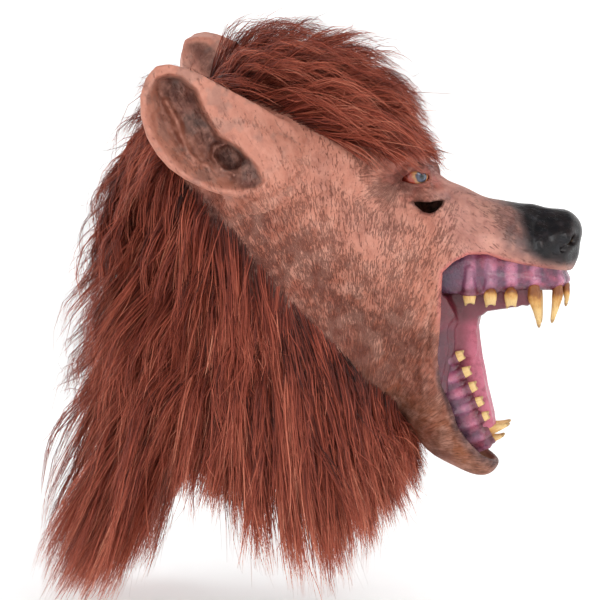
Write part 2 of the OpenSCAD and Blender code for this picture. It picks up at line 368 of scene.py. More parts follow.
# The lower jaw's stations, in its own frame: [x, along, up, ...]
JAW_BACK = [0, 2, -26, 46, 18, 30]
JAW_ROOT = [0, 18, -34, 44, 26, 25]
JAW_MID = [0, 50, -34, 36, 28, 20]
CHIN = [0, 76, -18, 26, 22, 16]

# Side outline of the open mouth, [forward, up]
MOUTH = [[109, -28], [110, -12], [117, -5], [127, 0], [140, 0], [150, -4], [163, -7], [180, -10], [198, -13],
    [250, -14], [250, -170], [152, -150], [146, -145], [137, -140], [127.5, -130], [120, -119.5], [114.3, -103],
    [108.5, -89], [106.5, -71], [107.5, -54], [108.5, -42]]
# Side outline of the vision slits
SLIT = [[89.5, 36], [95, 36], [100.5, 35.6], [109.4, 36.8], [108, 32.5], [104.5, 29.2], [101, 28.3], [97, 29.3],
    [92.5, 32.8]]
# Below this line the skin ends at the neck
NECK_CUT = [[-200, NECK_Z], [48, NECK_Z], [79, NECK_Z - 13], [84, -260], [-200, -260]]

EYE = np.array([38.5, 90.0, 52.5])
EYE_R = 10.0


def crease(q, points, width, depth, flat=14):
    """A groove of that depth (a ridge if it is negative) along a line drawn on the side of the head, [f, z]."""
    d2 = line_distance2(q[1], q[2], points)
    return F32(depth) * np.exp(-d2 / F32(width * width)) * smoothstep(flat - 6, flat + 4, q[0])


def into_jaw(p):
    """Points in the lower jaw's own frame: x, along the jaw, and up towards the upper teeth."""
    x, f, z = p
    c, s = F32(math.cos(JAW_ANGLE)), F32(math.sin(JAW_ANGLE))
    f, z = f - F32(JAW_ORIGIN[0]), z - F32(JAW_ORIGIN[1])
    return x, f * c - z * s, f * s + z * c


def out_of_jaw(v):
    """Vertices in the jaw's own frame, put back in the field's."""
    c, s = math.cos(JAW_ANGLE), math.sin(JAW_ANGLE)
    f = JAW_ORIGIN[0] + v[:, 1] * c + v[:, 2] * s
    z = JAW_ORIGIN[1] - v[:, 1] * s + v[:, 2] * c
    return np.stack([v[:, 0], f, z], axis=1)


def jaw_form(p):
    """The lower jaw's plain form, for points in its own frame."""
    return loft(p, [JAW_BACK, JAW_ROOT, JAW_MID, CHIN], 3, 6)


def head_form(p):
    """The skin's outer shape with the mouth shut over, for x >= 0 and its mirror image."""
    x, f, z = p
    ax = np.abs(x)
    d = loft(p, [NECK, CRANIUM], 3, 10)
    d = union(d, loft(p, [CRANIUM, FOREHEAD, BROW], 3, 8), 10)
    d = union(d, loft(p, [CRANIUM, CHEEK, SNOUT_ROOT], 3, 8), 12)
    d = union(d, loft(p, [BROW, SNOUT_ROOT, SNOUT, NOSE], 3, 6), 10)
    d = union(d, loft(p, [NECK, JOWL, CORNER, CHEEK], 3, 8), 12)
    d = union(d, loft(p, [CORNER, SNOUT_ROOT], 2, 8), 8)
    d = union(d, jaw_form(into_jaw(p)), 10)
    q = (ax, f, z)
    # brow ridge, cheekbone, and lips that swell over the gums
    d = union(d, path_rod(q, [(8, 88, 56), (26, 88, 61), (42, 80, 62), (54, 62, 54)], [8, 8, 8, 7], 6), 8)
    d = union(d, path_rod(q, [(40, 99, 26), (50, 84, 20), (58, 66, 14)], [7, 8, 8], 6), 12)
    d = union(d, path_rod(q, [(33, 128, 9), (26, 150, 6), (20, 172, 1), (13, 184, -3)], [8, 9, 10, 10], 5), 7)
    # nose pad and its wings
    d = union(d, path_rod(p, [(0, 146, 25), (0, 168, 22), (0, 188, 18)], [9, 10, 11.5], 4), 5)
    d = union(d, ellipsoid(p, (0, 188, 14), (18, 15.5, 14)), 4)
    d = union(d, ellipsoid(p, (0, 188, 2), (15, 13.5, 15)), 4)
    d = union(d, ellipsoid(q, (14, 188, 10), (9.5, 12, 9)), 4)
    # shallow socket of the eye
    return cut(d, ellipsoid(q, (EYE[0] + 12, EYE[1] + 6, EYE[2]), (12, 15, 9)), 6)


def carve_details(p, d):
    """Lids, nostrils and vision slits, and the folds of the skin."""
    x, f, z = p
    q = (np.abs(x), f, z)
    ex, ef, ez = EYE
    # lids: a shell over the eyeball with an almond opening
    d = union(d, ellipsoid(q, EYE, (EYE_R + 2.4,) * 3), 5)
    opening = path_rod(q, [(ex + 8, ef - 9, ez - 2), (ex + 12, ef + 1, ez - 0.2), (ex + 4, ef + 12, ez)],
        [1.2, 4.0, 1.8], 3)
    d = cut(d, opening, 1.2)
    for side, radii in (
        ([(ex + 7.5, ef - 10, ez - 1), (ex + 9.5, ef - 3, ez + 6.5), (ex + 5, ef + 8, ez + 7),
            (ex + 1, ef + 10.5, ez + 1)], [1.0, 2.0, 2.2, 1.2]),
        ([(ex + 7.5, ef - 10, ez - 2), (ex + 9.5, ef - 2, ez - 6), (ex + 5, ef + 8, ez - 6),
            (ex + 1, ef + 10.5, ez - 1)], [1.0, 1.8, 1.8, 1.2])):
        d = union(d, path_rod(q, side, radii, 1.5), 1.8)
    # bag under the eye, and creases round it
    d -= crease(q, [(84, 43), (92, 40.5), (102, 41), (110, 44)], 2.6, 1.9)
    d += crease(q, [(82, 40), (91, 37.5), (104, 38)], 1.5, 1.0)
    d += crease(q, [(84, 46), (93, 44), (104, 44.5)], 1.3, 0.9)
    for end in ([71, 62], [68, 55], [70, 46], [74, 38]):
        d += crease(q, [(82, 31.2 + 0.4 * end[1]), end], 1.2, 0.9)
    d += crease(q, [(82, 60), (92, 63.5), (103, 61)], 1.6, 1.3)
    # lid over the vision slit, and the slit itself
    d -= crease(q, [(89, 34.5), (100, 36.8), (110, 38.6)], 1.8, 1.5)
    d -= crease(q, [(92, 30), (101, 26.4), (108, 31)], 2.0, 0.9)
    slit = np.maximum(polygon(f[0], z[0], SLIT)[None], F32(14) - q[0])
    d = cut(d, slit, 0.8)
    # nostrils, opening forward and out, with a slot trailing back, and the groove between them
    d = cut(d, ellipsoid(q, (15, 200, 9), (6, 8.5, 4.2)), 1.4)
    d = cut(d, path_rod(q, [(17, 199, 8), (21, 191, 3), (21, 184, 2)], [2.4, 1.8, 0.8], 1), 1.4)
    groove = path_rod(q, [(0, 204, 17), (0, 204, 4), (0, 201, -8), (0, 199, -20)], [1.2, 1.4, 1.2, 0.8], 1)
    d = cut(d, groove, 1.6)
    # the back edge of the nose pad
    d += crease(q, [(176, 27), (172, 20), (171, 9), (176, 0), (186, -3), (197, -2)], 2.2, 0.9, 8)
    # folds behind the corner of the mouth, and down to the jaw
    for line, width, depth in (
        ([(103, -34), (101, -52), (100, -70), (103, -88)], 1.8, 1.9),
        ([(98, -44), (95, -60), (92, -78), (94, -94)], 2.0, 2.2),
        ([(90, -52), (88, -70), (84, -86)], 1.6, 1.4),
        ([(103, -20), (98, -30), (95, -42)], 1.5, 1.0),
        ([(84, -70), (80, -84), (76, -96)], 1.8, 1.3),
        ([(110, -12), (104, 2), (106, 16)], 2.6, 0.9),
        ([(107, -92), (112, -104), (120, -118), (130, -132)], 2.0, 1.0),
        ([(100, -92), (104, -106), (112, -122)], 2.2, 0.8)):
        d += crease(q, line, width, depth)
    for line, width, depth in (
        ([(105, -30), (104, -50), (103, -74)], 1.5, 1.0),
        ([(97, -60), (96, -80), (98, -96)], 1.5, 1.3),
        ([(88, -60), (86, -78), (82, -92)], 2.0, 1.2)):
        d -= crease(q, line, width, depth)
    # snarl lines over the muzzle
    for i in range(4):
        f0 = 118 + 10 * i
        d += crease(q, [(f0 - 3, 40 - 3.0 * i), (f0, 30 - 2.0 * i), (f0 + 7, 19 - 2.0 * i)], 1.6, 0.7, 10)
    return d


def mouth_field(p, form):
    """The open mouth: the gap between the lips, and a recess inside them where the gums sit."""
    _, f, z = p
    gap = polygon(f[0], z[0], MOUTH)[None]
    recess = np.maximum(form + F32(4.2), gap - F32(11))
    return union(gap, recess, 1.5)


def skin_field(p):
    """The plain form, and the finished wall of the skin."""
    form = head_form(p)
    outer = carve_details(p, form)
    mouth = mouth_field(p, form)
    solid = cut(outer, mouth, 1.8)
    hollow = np.maximum(form + F32(WALL), -(mouth - F32(WALL)))
    # a thick bridge between the vision slits
    hollow = cut(hollow, ellipsoid(p, (0, 106, 28), (9, 16, 26)), 4)
    solid = np.maximum(solid, -hollow)
    x, f, z = p
    neck = polygon(f[0], z[0], NECK_CUT)[None]
    solid = cut(solid, neck, 1.0)
    eye = ellipsoid((np.abs(x), f, z), EYE, (EYE_R + 0.2,) * 3)
    return form, cut(solid, eye, 0.6)


def mirrored(half):
    """Values on both sides of a middle grid, from those at x >= 0."""
    return np.concatenate([half[1:][::-1], half])


def half_points(grid):
    return (grid.points[0][grid.points[0][:, 0, 0] > -grid.step / 2], grid.points[1], grid.points[2])


def middle_grid(low, high, step):
    """A grid centred on x = 0; low and high are [f, z], with the half width first in high."""
    half = step * math.ceil(high[0] / step)
    return Grid([-half, low[0], low[1]], [half - step * 0.01, high[1], high[2]], step)


# ---------------------------------------------------------------- gums, teeth and the inside of the mouth

UPPER_GUM = dict(width=28, start=106, end=193)  # U-shaped line of the teeth, [x, forward]
LOWER_GUM = dict(width=23, start=-10, end=76)  # the same in the jaw's frame, [x, along]
UPPER_EDGE, LOWER_EDGE = -26, -7  # where the teeth come out of the gums
# Teeth round each gum: name, angle from the middle, kind, length, width, lean forward
UPPER_TEETH = [("molar", 78, "cheek", 10, 10, 0), ("rear_premolar", 68.5, "cheek", 11, 10, 0),
    ("front_premolar", 58, "cheek", 12, 10, 0), ("canine", 44, "point", 25, 9, 4),
    ("corner_incisor", 23, "point", 22, 7.5, -5), ("incisor", 8, "point", 11, 5.5, -1)]
LOWER_TEETH = [("rear_molar", 77, "cheek", 9, 8.5, 0), ("molar", 69, "cheek", 9, 8.5, 0),
    ("rear_premolar", 60.5, "cheek", 8.5, 8.5, 0), ("premolar", 51, "cheek", 8.5, 8, 0),
    ("front_premolar", 40, "cheek", 8, 7.5, 0), ("canine", 26, "point", 17, 7.5, 2),
    ("incisor", 9, "point", 10, 6, 2)]


def arch_point(arch, degrees):
    """A point of a gum's line for x >= 0, and the direction along the line there."""
    def at(a):
        return np.array([arch["width"] * math.sin(a), arch["start"] + (arch["end"] - arch["start"]) *
            max(math.cos(a), 0) ** 0.9])
    a = math.radians(degrees)
    along = at(a - 0.01) - at(a + 0.01)
    return at(a), along / np.linalg.norm(along)


def arch_outward(arch, place, along):
    """The direction out of a gum's line, away from its middle."""
    (x, f), (tx, tf) = place, along
    return (tf, -tx) if tf * x - tx * (f - arch["start"]) > 0 else (-tf, tx)


def arch_tube(p, arch, height, out, rise):
    """An elliptical tube along a gum's line."""
    line = [arch_point(arch, a)[0] for a in np.linspace(0, 90, 13)] + [(arch["width"], arch["start"] - 14)]
    d2 = line_distance2(p[0], p[1], line)
    scaled = np.sqrt(d2 / F32(out * out) + ((p[2] - F32(height)) / F32(rise)) ** 2)
    return (scaled - 1) * F32(min(out, rise))


def gum_field(p, arch, teeth, height, edge, out, tall, up):
    """A gum with a swelling over each root and a notch round each tooth."""
    q = (np.abs(p[0]), p[1], p[2])
    d = arch_tube(q, arch, height, out, tall)
    for _, angle, kind, _, width, _ in teeth:
        (x, f), along = arch_point(arch, angle)
        nx, nf = arch_outward(arch, (x, f), along)
        swell = 0.62 if kind == "point" else 0.5
        root_line = [(x + nx * far, f + nf * far, edge + up * rise) for far, rise in ((3.4, 3.5), (4.2, 15))]
        root = path_rod(q, root_line, [width * swell * 0.9, width * swell * 0.6], 2)
        d = union(d, root, 2.0)
        collar = ellipsoid(q, (x + nx * 0.8, f + nf * 0.8, edge - up * 1.2), (width * 0.62, width * 0.62, 2.6))
        d = union(d, collar, 1.6)
        d = cut(d, ellipsoid(q, (x, f, edge - up * 3), (width * 0.46, width * 0.46, 2.4)), 1.0)
    return d


def upper_gum_field(p):
    d = gum_field(p, UPPER_GUM, UPPER_TEETH, UPPER_EDGE + 13, UPPER_EDGE, 4.6, 14.5, 1)
    lip = 3.4 - 6.0 * smoothstep(-11, -20, p[2])
    return cut(d, -(head_form(p) + lip), 1.5)


def lower_gum_field(p):
    """In the jaw's own frame."""
    d = gum_field(p, LOWER_GUM, LOWER_TEETH, LOWER_EDGE - 10, LOWER_EDGE, 5.2, 10.5, -1)
    lip = 3.2 - 17.0 * smoothstep(-27, -14, p[2])
    return cut(d, -(jaw_form(p) + lip), 1.5)


# Side outline of the lining: along the palate, down the throat, and along the floor to the chin
LINING = [[174, -31], [168, -36.5], [150, -39], [139, -40.5], [133.5, -44.5], [131, -53], [134, -75],
    [139.5, -98], [143, -112], [144.5, -121], [142, -127], [131, -131], [126, -120], [123, -110], [117, -92],
    [112, -70], [110, -50], [111, -28], [120, -20], [174, -20]]
# Side outline of the flesh that closes the corners of the mouth
CHEEK_WEB = [[104, -22], [112, -30], [117, -40], [120, -52], [119, -66], [115, -82], [112, -96], [106, -96]]


def lining_field(p):
    """Palate with its ridges, the back of the throat, and the floor of the mouth with a groove down it."""
    x, f, z = p
    ax = np.abs(x)
    d = polygon(f[0], z[0], LINING)[None]
    half = 21.0 - 4.0 * smoothstep(135, 172, f) * smoothstep(-60, -40, z) - 3.5 * smoothstep(-60, -80, z)
    half = half - 6.0 * smoothstep(-100, -140, z)
    d = cut(d, -(ax - half), 5)
    cheeks = np.maximum(polygon(f[0], z[0], CHEEK_WEB)[None], head_form(p) + F32(2.6))
    d = union(d, cheeks, 5)
    groove = np.exp(-(x / 5) ** 2) * smoothstep(-52, -80, z) * 3.2
    rugae = 0.7 * smoothstep(17, 11, ax) * np.sin(f * 0.85 + ax * 0.12) * smoothstep(128, 138, f)
    rugae = rugae * smoothstep(-60, -45, z)
    vault = 5.0 * np.exp(-(x / 9) ** 2) * smoothstep(132, 146, f) * smoothstep(-60, -45, z)
    folds = 0.7 * np.sin(ax * 0.9 + z * 0.10) * smoothstep(-44, -52, z) * smoothstep(-100, -80, z)
    return d + groove + rugae + vault + folds


TOOTH_SUNK = 2.0  # how deep each tooth's root stands in the gum


def tooth_mesh(kind, length, width, lean, step):
    """A tooth in its own frame: along the gum, outward, and away from the root."""
    w, n = width / 2, width * 0.42
    grid = Grid([-w - 2.5 - abs(lean), -n - 2.5, -4], [w + 2.5 + abs(lean), n + 2.5, length + 1.5], step)
    p = grid.points
    if kind == "point":
        path = [[0, 0, -1, w * 0.86, n * 0.95, 3], [lean * 0.1, 0.3, length * 0.22, w, n * 1.08, length * 0.2],
            [lean * 0.5, 1.0, length * 0.48, w * 0.66, n * 0.74, length * 0.2],
            [lean * 0.85, 0.7, length * 0.76, w * 0.38, n * 0.42, length * 0.17],
            [lean, 0, length - 1.4, w * 0.19, n * 0.22, 1.7]]
        d = loft(p, path, 3, 1.0)
        groove = capsule(p, (lean * 0.2 + w * 0.55, n * 1.25, 1), (lean * 0.8, n * 0.9, length * 0.8), 0.9, 0.2)
        d = cut(d, groove, 1.2)
    else:
        d = ellipsoid(p, (0, 0, length * 0.36), (w * 0.9, n, length * 0.46))
        for at, tall in ((-0.52, 0.98), (0.58, 0.9)):
            cusp = capsule(p, (w * at * 0.4, 0, length * 0.35), (w * at, 0, length * tall - 0.9), w * 0.5, 0.9)
            d = union(d, cusp, 1.8)
    verts, quads = grid.net(d)
    return relax(verts, quads, 1), quads


def place_tooth(verts, arch, angle, edge, up, outset):
    """Tooth coordinates to the gum's own frame, on the side x >= 0."""
    (x, f), (tx, tf) = arch_point(arch, angle)
    nx, nf = arch_outward(arch, (x, f), (tx, tf))
    s, n, h = verts.T
    h = h - TOOTH_SUNK
    n = n + outset
    return np.stack([x + tx * s + nx * n, f + tf * s + nf * n, edge - up * h], axis=1)
# ---------------------------------------------------------------- ears

EAR_FLARE = math.radians(12)
# Root of each ear [|x|, f, z], and its lean back from upright
EARS = {"right": ((92, -4, 45), math.radians(44)), "left": ((85, -12, 74), math.radians(46))}
# Outline of an ear and of its cup, [across towards the back, along]
EAR_OUTLINE = [[-5, 110], [6, 109], [17, 103], [26, 93], [32.5, 81], [36, 68], [36.5, 55], [34, 43], [30, 31],
    [24, 19], [15, 8], [5, 0], [-10, -8], [-28, -4], [-40, 8], [-42, 22], [-36, 45], [-30, 62], [-26, 74],
    [-23, 84], [-18, 95], [-12, 105]]
EAR_CUP = [[-7, 101], [-12.5, 94], [-14, 80], [-8, 66], [-4, 48], [-7.5, 32], [-7.5, 15], [-3, 4], [6, 5],
    [15, 13], [24, 24], [31, 42], [33, 58], [31, 76], [24, 92], [11, 103], [0, 105]]
# Ridges inside the cup
ANTIHELIX = [(7, 88), (11, 74), (16, 62), (20, 53), (18, 43), (15, 34), (9, 22), (2, 13)]
TRAGUS_CURL = [(-1, 41), (5, 44), (10, 40), (11, 31), (8, 23)]


def ear_axes(lean):
    """Outward, across towards the back, and along the ear, as [x, f, z] on the side x >= 0."""
    cf, sf, cl, sl = math.cos(EAR_FLARE), math.sin(EAR_FLARE), math.cos(lean), math.sin(lean)
    return np.array([[cf, sf, 0], [sf * cl, -cf * cl, -sl], [sf * sl, -cf * sl, cl]])


def into_ear(p, root, lean):
    """Points in an ear's own frame: outward, across and along."""
    axes = ear_axes(lean)
    q = [a - F32(c) for a, c in zip(p, root)]
    return [sum(F32(k) * a for k, a in zip(row, q)) for row in axes]


def ear_form(p, root, lean):
    """A leaf of latex with a broad rolled front band, a deep cup, and a thin rim at the back."""
    u, v, w = into_ear(p, root, lean)
    outline = polygon(v, w, EAR_OUTLINE)
    cup = -polygon(v, w, EAR_CUP)
    crest = 5.0 * np.exp(-(((v + 17) / 13) ** 2)) + 3.0 * smoothstep(18, 36, v)
    drop = 12.0 * smoothstep(-22, -42, v) * smoothstep(70, 20, w) + 3.0 * smoothstep(-14, -30, v)
    curl = 4.0 * smoothstep(70, 108, w)
    rim = crest - drop + curl + 1.0
    ramp = 4.0 + 11.0 * smoothstep(-4, 20, v)
    depth = 15.0 * smoothstep(0, 1, cup / ramp)
    ridges = 4.6 * np.exp(-((np.sqrt(line_distance2(v, w, ANTIHELIX)) / 2.6) ** 2)) * smoothstep(0, 6, cup)
    ridges += 5.0 * np.exp(-((np.sqrt(line_distance2(v, w, TRAGUS_CURL)) / 2.0) ** 2)) * smoothstep(0, 4, cup)
    bowl = 7.0 * np.exp(-(((v - 1.5) / 7) ** 2 + ((w - 30) / 9) ** 2))
    grooves = 0.5 * np.sin(v * 1.1 + w * 0.22) * smoothstep(3, 9, cup)
    front = rim - depth + ridges - bowl + grooves + 1.4 * np.exp(-((cup / 2.2) ** 2))
    behind = np.minimum(rim - 4.0 - 15.0 * smoothstep(0, 1, (cup + 5.5) / ramp), front - 4.0)
    sheet = cut(u - front, u - behind, 2.0) * F32(0.8)
    d = cut(sheet, -outline, 3.0)
    root_pad = ellipsoid((u, v, w), (-8, -8, 8), (11, 27, 17))
    return union(d, root_pad, 7)


def ear_field(p, root, lean):
    """The plain form of the head, and that form with the ear on it."""
    form = head_form(p)
    return form, union(form, ear_form(p, root, lean), 8)
# ---------------------------------------------------------------- materials


def rgb(r, g, b):
    """An sRGB colour, 0 to 255, as linear numbers."""
    c = np.array([r, g, b], float) / 255
    return np.where(c <= 0.04045, c / 12.92, ((c + 0.055) / 1.055) ** 2.4)


class Material:
    """A procedural material that is built up node by node."""

    def __init__(self, name):
        self.data = bpy.data.materials.new(name)
        self.data.use_nodes = True
        self.nodes = self.data.node_tree.nodes
        self.links = self.data.node_tree.links
        self.shader = self.nodes["Principled BSDF"]
        self.coordinates = self.node("ShaderNodeTexCoord").outputs["Object"]

    def put(self, socket, value):
        if isinstance(value, bpy.types.NodeSocket):
            self.links.new(value, socket)
        elif value is not None:
            socket.default_value = value

    def node(self, kind, inputs=(), **settings):
        n = self.nodes.new(kind)
        for key, value in settings.items():
            setattr(n, key, value)
        for key, value in dict(inputs).items():
            self.put(n.inputs[key], value)
        return n

    def set(self, **inputs):
        for key, value in inputs.items():
            self.put(self.shader.inputs[key.replace("_", " ")], value)

    def attribute(self, name, output="Fac"):
        return self.node("ShaderNodeAttribute", attribute_name=name).outputs[output]

    def math(self, operation, a, b=None):
        n = self.node("ShaderNodeMath", operation=operation)
        self.put(n.inputs[0], a)
        self.put(n.inputs[1], b)
        return n.outputs[0]

    def noise(self, scale, detail=3.0, vector=None, roughness=0.55, distortion=0.0):
        return self.node("ShaderNodeTexNoise", {"Vector": vector or self.coordinates, "Scale": scale,
            "Detail": detail, "Roughness": roughness, "Distortion": distortion}).outputs["Fac"]

    def step(self, value, low, high, to_low=0.0, to_high=1.0):
        inputs = {"Value": value, "From Min": low, "From Max": high, "To Min": to_low, "To Max": to_high}
        return self.node("ShaderNodeMapRange", inputs, interpolation_type="SMOOTHSTEP").outputs["Result"]

    def mix(self, amount, a, b, how="MIX"):
        n = self.node("ShaderNodeMix", data_type="RGBA", blend_type=how)
        self.put(n.inputs["Factor"], amount)
        self.put(n.inputs[6], a if isinstance(a, bpy.types.NodeSocket) else (*a, 1))
        self.put(n.inputs[7], b if isinstance(b, bpy.types.NodeSocket) else (*b, 1))
        return n.outputs[2]

    def bump(self, height, distance, strength=1.0):
        inputs = {"Height": height, "Distance": distance, "Strength": strength}
        return self.node("ShaderNodeBump", inputs).outputs["Normal"]

    def stretched(self, vector, across, along):
        """A vector's parts, each multiplied; the third changes little over the surface."""
        scale = (across, along, 0.1)
        return self.node("ShaderNodeVectorMath", {0: vector, 1: scale}, operation="MULTIPLY").outputs["Vector"]


def skin_material(name, strokes):
    """Painted latex: airbrushed colours, and fine combed hair strokes pressed into it."""
    m = Material(name)
    density = m.attribute("stroke")
    marks = []
    for flow in ("flow_cheek", "flow_eye"):
        vector = m.attribute(flow, "Vector")
        fine = m.noise(1.0, 2.0, m.stretched(vector, 1.9, 0.26), 0.6, 1.2)
        long = m.noise(1.0, 1.0, m.stretched(vector, 1.0, 0.08), 0.5, 1.4)
        marks.append(m.math("ADD", m.math("MULTIPLY", fine, 0.68), m.math("MULTIPLY", long, 0.32)))
    blend = m.attribute("eye_zone")
    on_cheek = m.math("MULTIPLY", marks[0], m.math("SUBTRACT", 1.0, blend))
    value = m.math("ADD", m.math("MULTIPLY", marks[1], blend), on_cheek)
    patchy = m.noise(55.0, 2.0)
    value = m.math("ADD", value, m.math("MULTIPLY", m.math("SUBTRACT", patchy, 0.25), 0.32))
    threshold = m.math("SUBTRACT", 0.735, m.math("MULTIPLY", density, 0.155))
    mask = m.step(m.math("SUBTRACT", value, threshold), -0.05, 0.055)
    paint = m.attribute("paint", "Color")
    gloss = m.attribute("gloss")
    skin_only = m.step(gloss, 0.35, 0.7, 1.0, 0.06)
    light = m.math("MULTIPLY", m.step(m.noise(160.0, 4.0), 0.35, 0.75, 0.0, 0.34), skin_only)
    mottled = m.mix(light, paint, rgb(226, 166, 146))
    dark = m.math("MULTIPLY", m.step(m.noise(95.0, 3.0), 0.50, 0.78, 0.0, 0.38), skin_only)
    mottled = m.mix(dark, mottled, rgb(124, 60, 48))
    colour = m.mix(m.math("MULTIPLY", mask, 0.60 * strokes), mottled, m.attribute("paint_stroke", "Color"))
    pores = m.noise(900.0, 3.0)
    creases = m.noise(1.0, 3.0, m.stretched(m.attribute("flow_cheek", "Vector"), 0.30, 0.08))
    height = m.math("SUBTRACT", m.math("MULTIPLY", pores, 0.25), m.math("MULTIPLY", mask, 0.7))
    height = m.math("ADD", height, m.math("MULTIPLY", creases, 0.9))
    dull = m.math("SUBTRACT", 0.62, m.math("MULTIPLY", gloss, 0.34))
    rough = m.math("ADD", dull, m.math("MULTIPLY", mask, 0.1))
    m.set(Base_Color=colour, Roughness=rough, Normal=m.bump(height, 0.0007), Specular_IOR_Level=0.32,
        Subsurface_Weight=0.06, Subsurface_Radius=(1.0, 0.4, 0.25), Subsurface_Scale=0.003)
    return m.data


def flesh_material(name, roughness, veins):
    """Glossy painted gum: airbrushed colours with thin veins and a wet shine."""
    m = Material(name)
    paint = m.attribute("paint", "Color")
    cloudy = m.mix(m.step(m.noise(210.0, 4.0), 0.42, 0.72, 0.0, 0.4), paint, veins)
    streak = m.step(m.noise(420.0, 3.0, None, 0.6, 1.2), 0.55, 0.72, 0.0, 0.5)
    colour = m.mix(streak, cloudy, m.attribute("paint_stroke", "Color"))
    height = m.math("ADD", m.noise(500.0, 3.0), m.math("MULTIPLY", m.noise(150.0, 2.0), 1.3))
    wet = m.step(m.noise(260.0, 2.0), 0.3, 0.7, roughness - 0.08, roughness + 0.12)
    m.set(Base_Color=colour, Roughness=wet,
        Normal=m.bump(height, 0.0007, 0.8), Coat_Weight=0.35, Coat_Roughness=0.18,
        Subsurface_Weight=0.08, Subsurface_Scale=0.002)
    return m.data


def tooth_material():
    """Hard plastic painted like old teeth: ochre streaks down from a stained root."""
    m = Material("tooth_enamel")
    paint = m.attribute("paint", "Color")
    streak = m.noise(1.0, 3.0, m.stretched(m.attribute("flow_cheek", "Vector"), 1.3, 0.22))
    colour = m.mix(m.step(streak, 0.48, 0.72, 0.0, 0.45), paint, rgb(176, 112, 48))
    colour = m.mix(m.step(m.noise(600.0, 2.0), 0.6, 0.75, 0.0, 0.35), colour, rgb(110, 66, 30))
    m.set(Base_Color=colour, Roughness=m.step(m.noise(300.0, 2.0), 0.3, 0.7, 0.28, 0.5),
        Normal=m.bump(m.math("ADD", streak, m.noise(700.0, 2.0)), 0.0003, 0.6), Specular_IOR_Level=0.5)
    return m.data


def eye_material():
    m = Material("eye_painted")
    paint = m.attribute("paint", "Color")
    veins = m.step(m.noise(500.0, 4.0, None, 0.6, 2.0), 0.56, 0.66, 0.0, 0.5)
    colour = m.mix(m.math("MULTIPLY", veins, m.attribute("stroke")), paint, rgb(140, 25, 18))
    m.set(Base_Color=colour, Roughness=0.2, Coat_Weight=0.5, Coat_Roughness=0.06,
        Normal=m.bump(m.noise(300.0, 2.0), 0.0002, 0.3))
    return m.data


def plain_material(name, colour, **inputs):
    """A material without texture."""
    m = Material(name)
    m.nodes.remove(m.coordinates.node)
    m.set(Base_Color=(*colour, 1), **inputs)
    return m.data
# ---------------------------------------------------------------- paint

# Where the fur is glued on, seen from the side, [forward, up]
CROWN_LINE = [[-66, 58], [-44, 112], [-9, 100], [24, 84], [39, 77], [60, 76], [80, 75], [92, 71], [140, 90],
    [140, 220], [-66, 220]]
NAPE_LINE = [[-50, 220], [-52, 104], [-60, 70], [-66, 52], [-43, 40], [-15, 4], [17, -35], [50, -71],
    [78, -101], [78, -140], [-220, -140], [-220, 220]]
INNER_SIDE = -2.9  # the plain form's value below which a vertex belongs to the wall's inner side


def base_coat(verts, colour):
    """One sRGB colour for every vertex."""
    return np.tile(rgb(*colour), (len(verts), 1))


def over(paint, colour, amount):
    """Airbrushes an sRGB colour over the paint of each vertex."""
    return paint + (rgb(*colour) - paint) * np.clip(amount, 0, 1)[:, None]


def spot(f, z, centre, radii, sharp=1.0):
    """1 at a place on the side view, and fading out round it."""
    d = ((f - centre[0]) / radii[0]) ** 2 + ((z - centre[1]) / radii[1]) ** 2
    return np.exp(-(d**sharp))


def hollows(verts, quads, normals):
    """How deep each vertex lies below those around it, in millimetres."""
    smooth = relax(verts, quads, 2, 0.9)
    return np.sum((smooth - verts) * normals, axis=1)


# Side outline of the cheek's darker part
LOWER_CHEEK = [[-70, 70], [-12, 40], [14, 22], [32, 8], [50, -10], [66, -26], [88, -34], [104, -52], [104, -96],
    [70, -130], [-70, -130]]
# Side outline of the black nose
NOSE_LINE = [[146, 60], [151, 36], [160, 27], [163, 14], [167, 3], [176, -5], [190, -9], [240, -9], [240, 60]]
STROKES_MEET = np.array([57.0, -140.0])  # the cheek's strokes run down towards this place, [f, z]


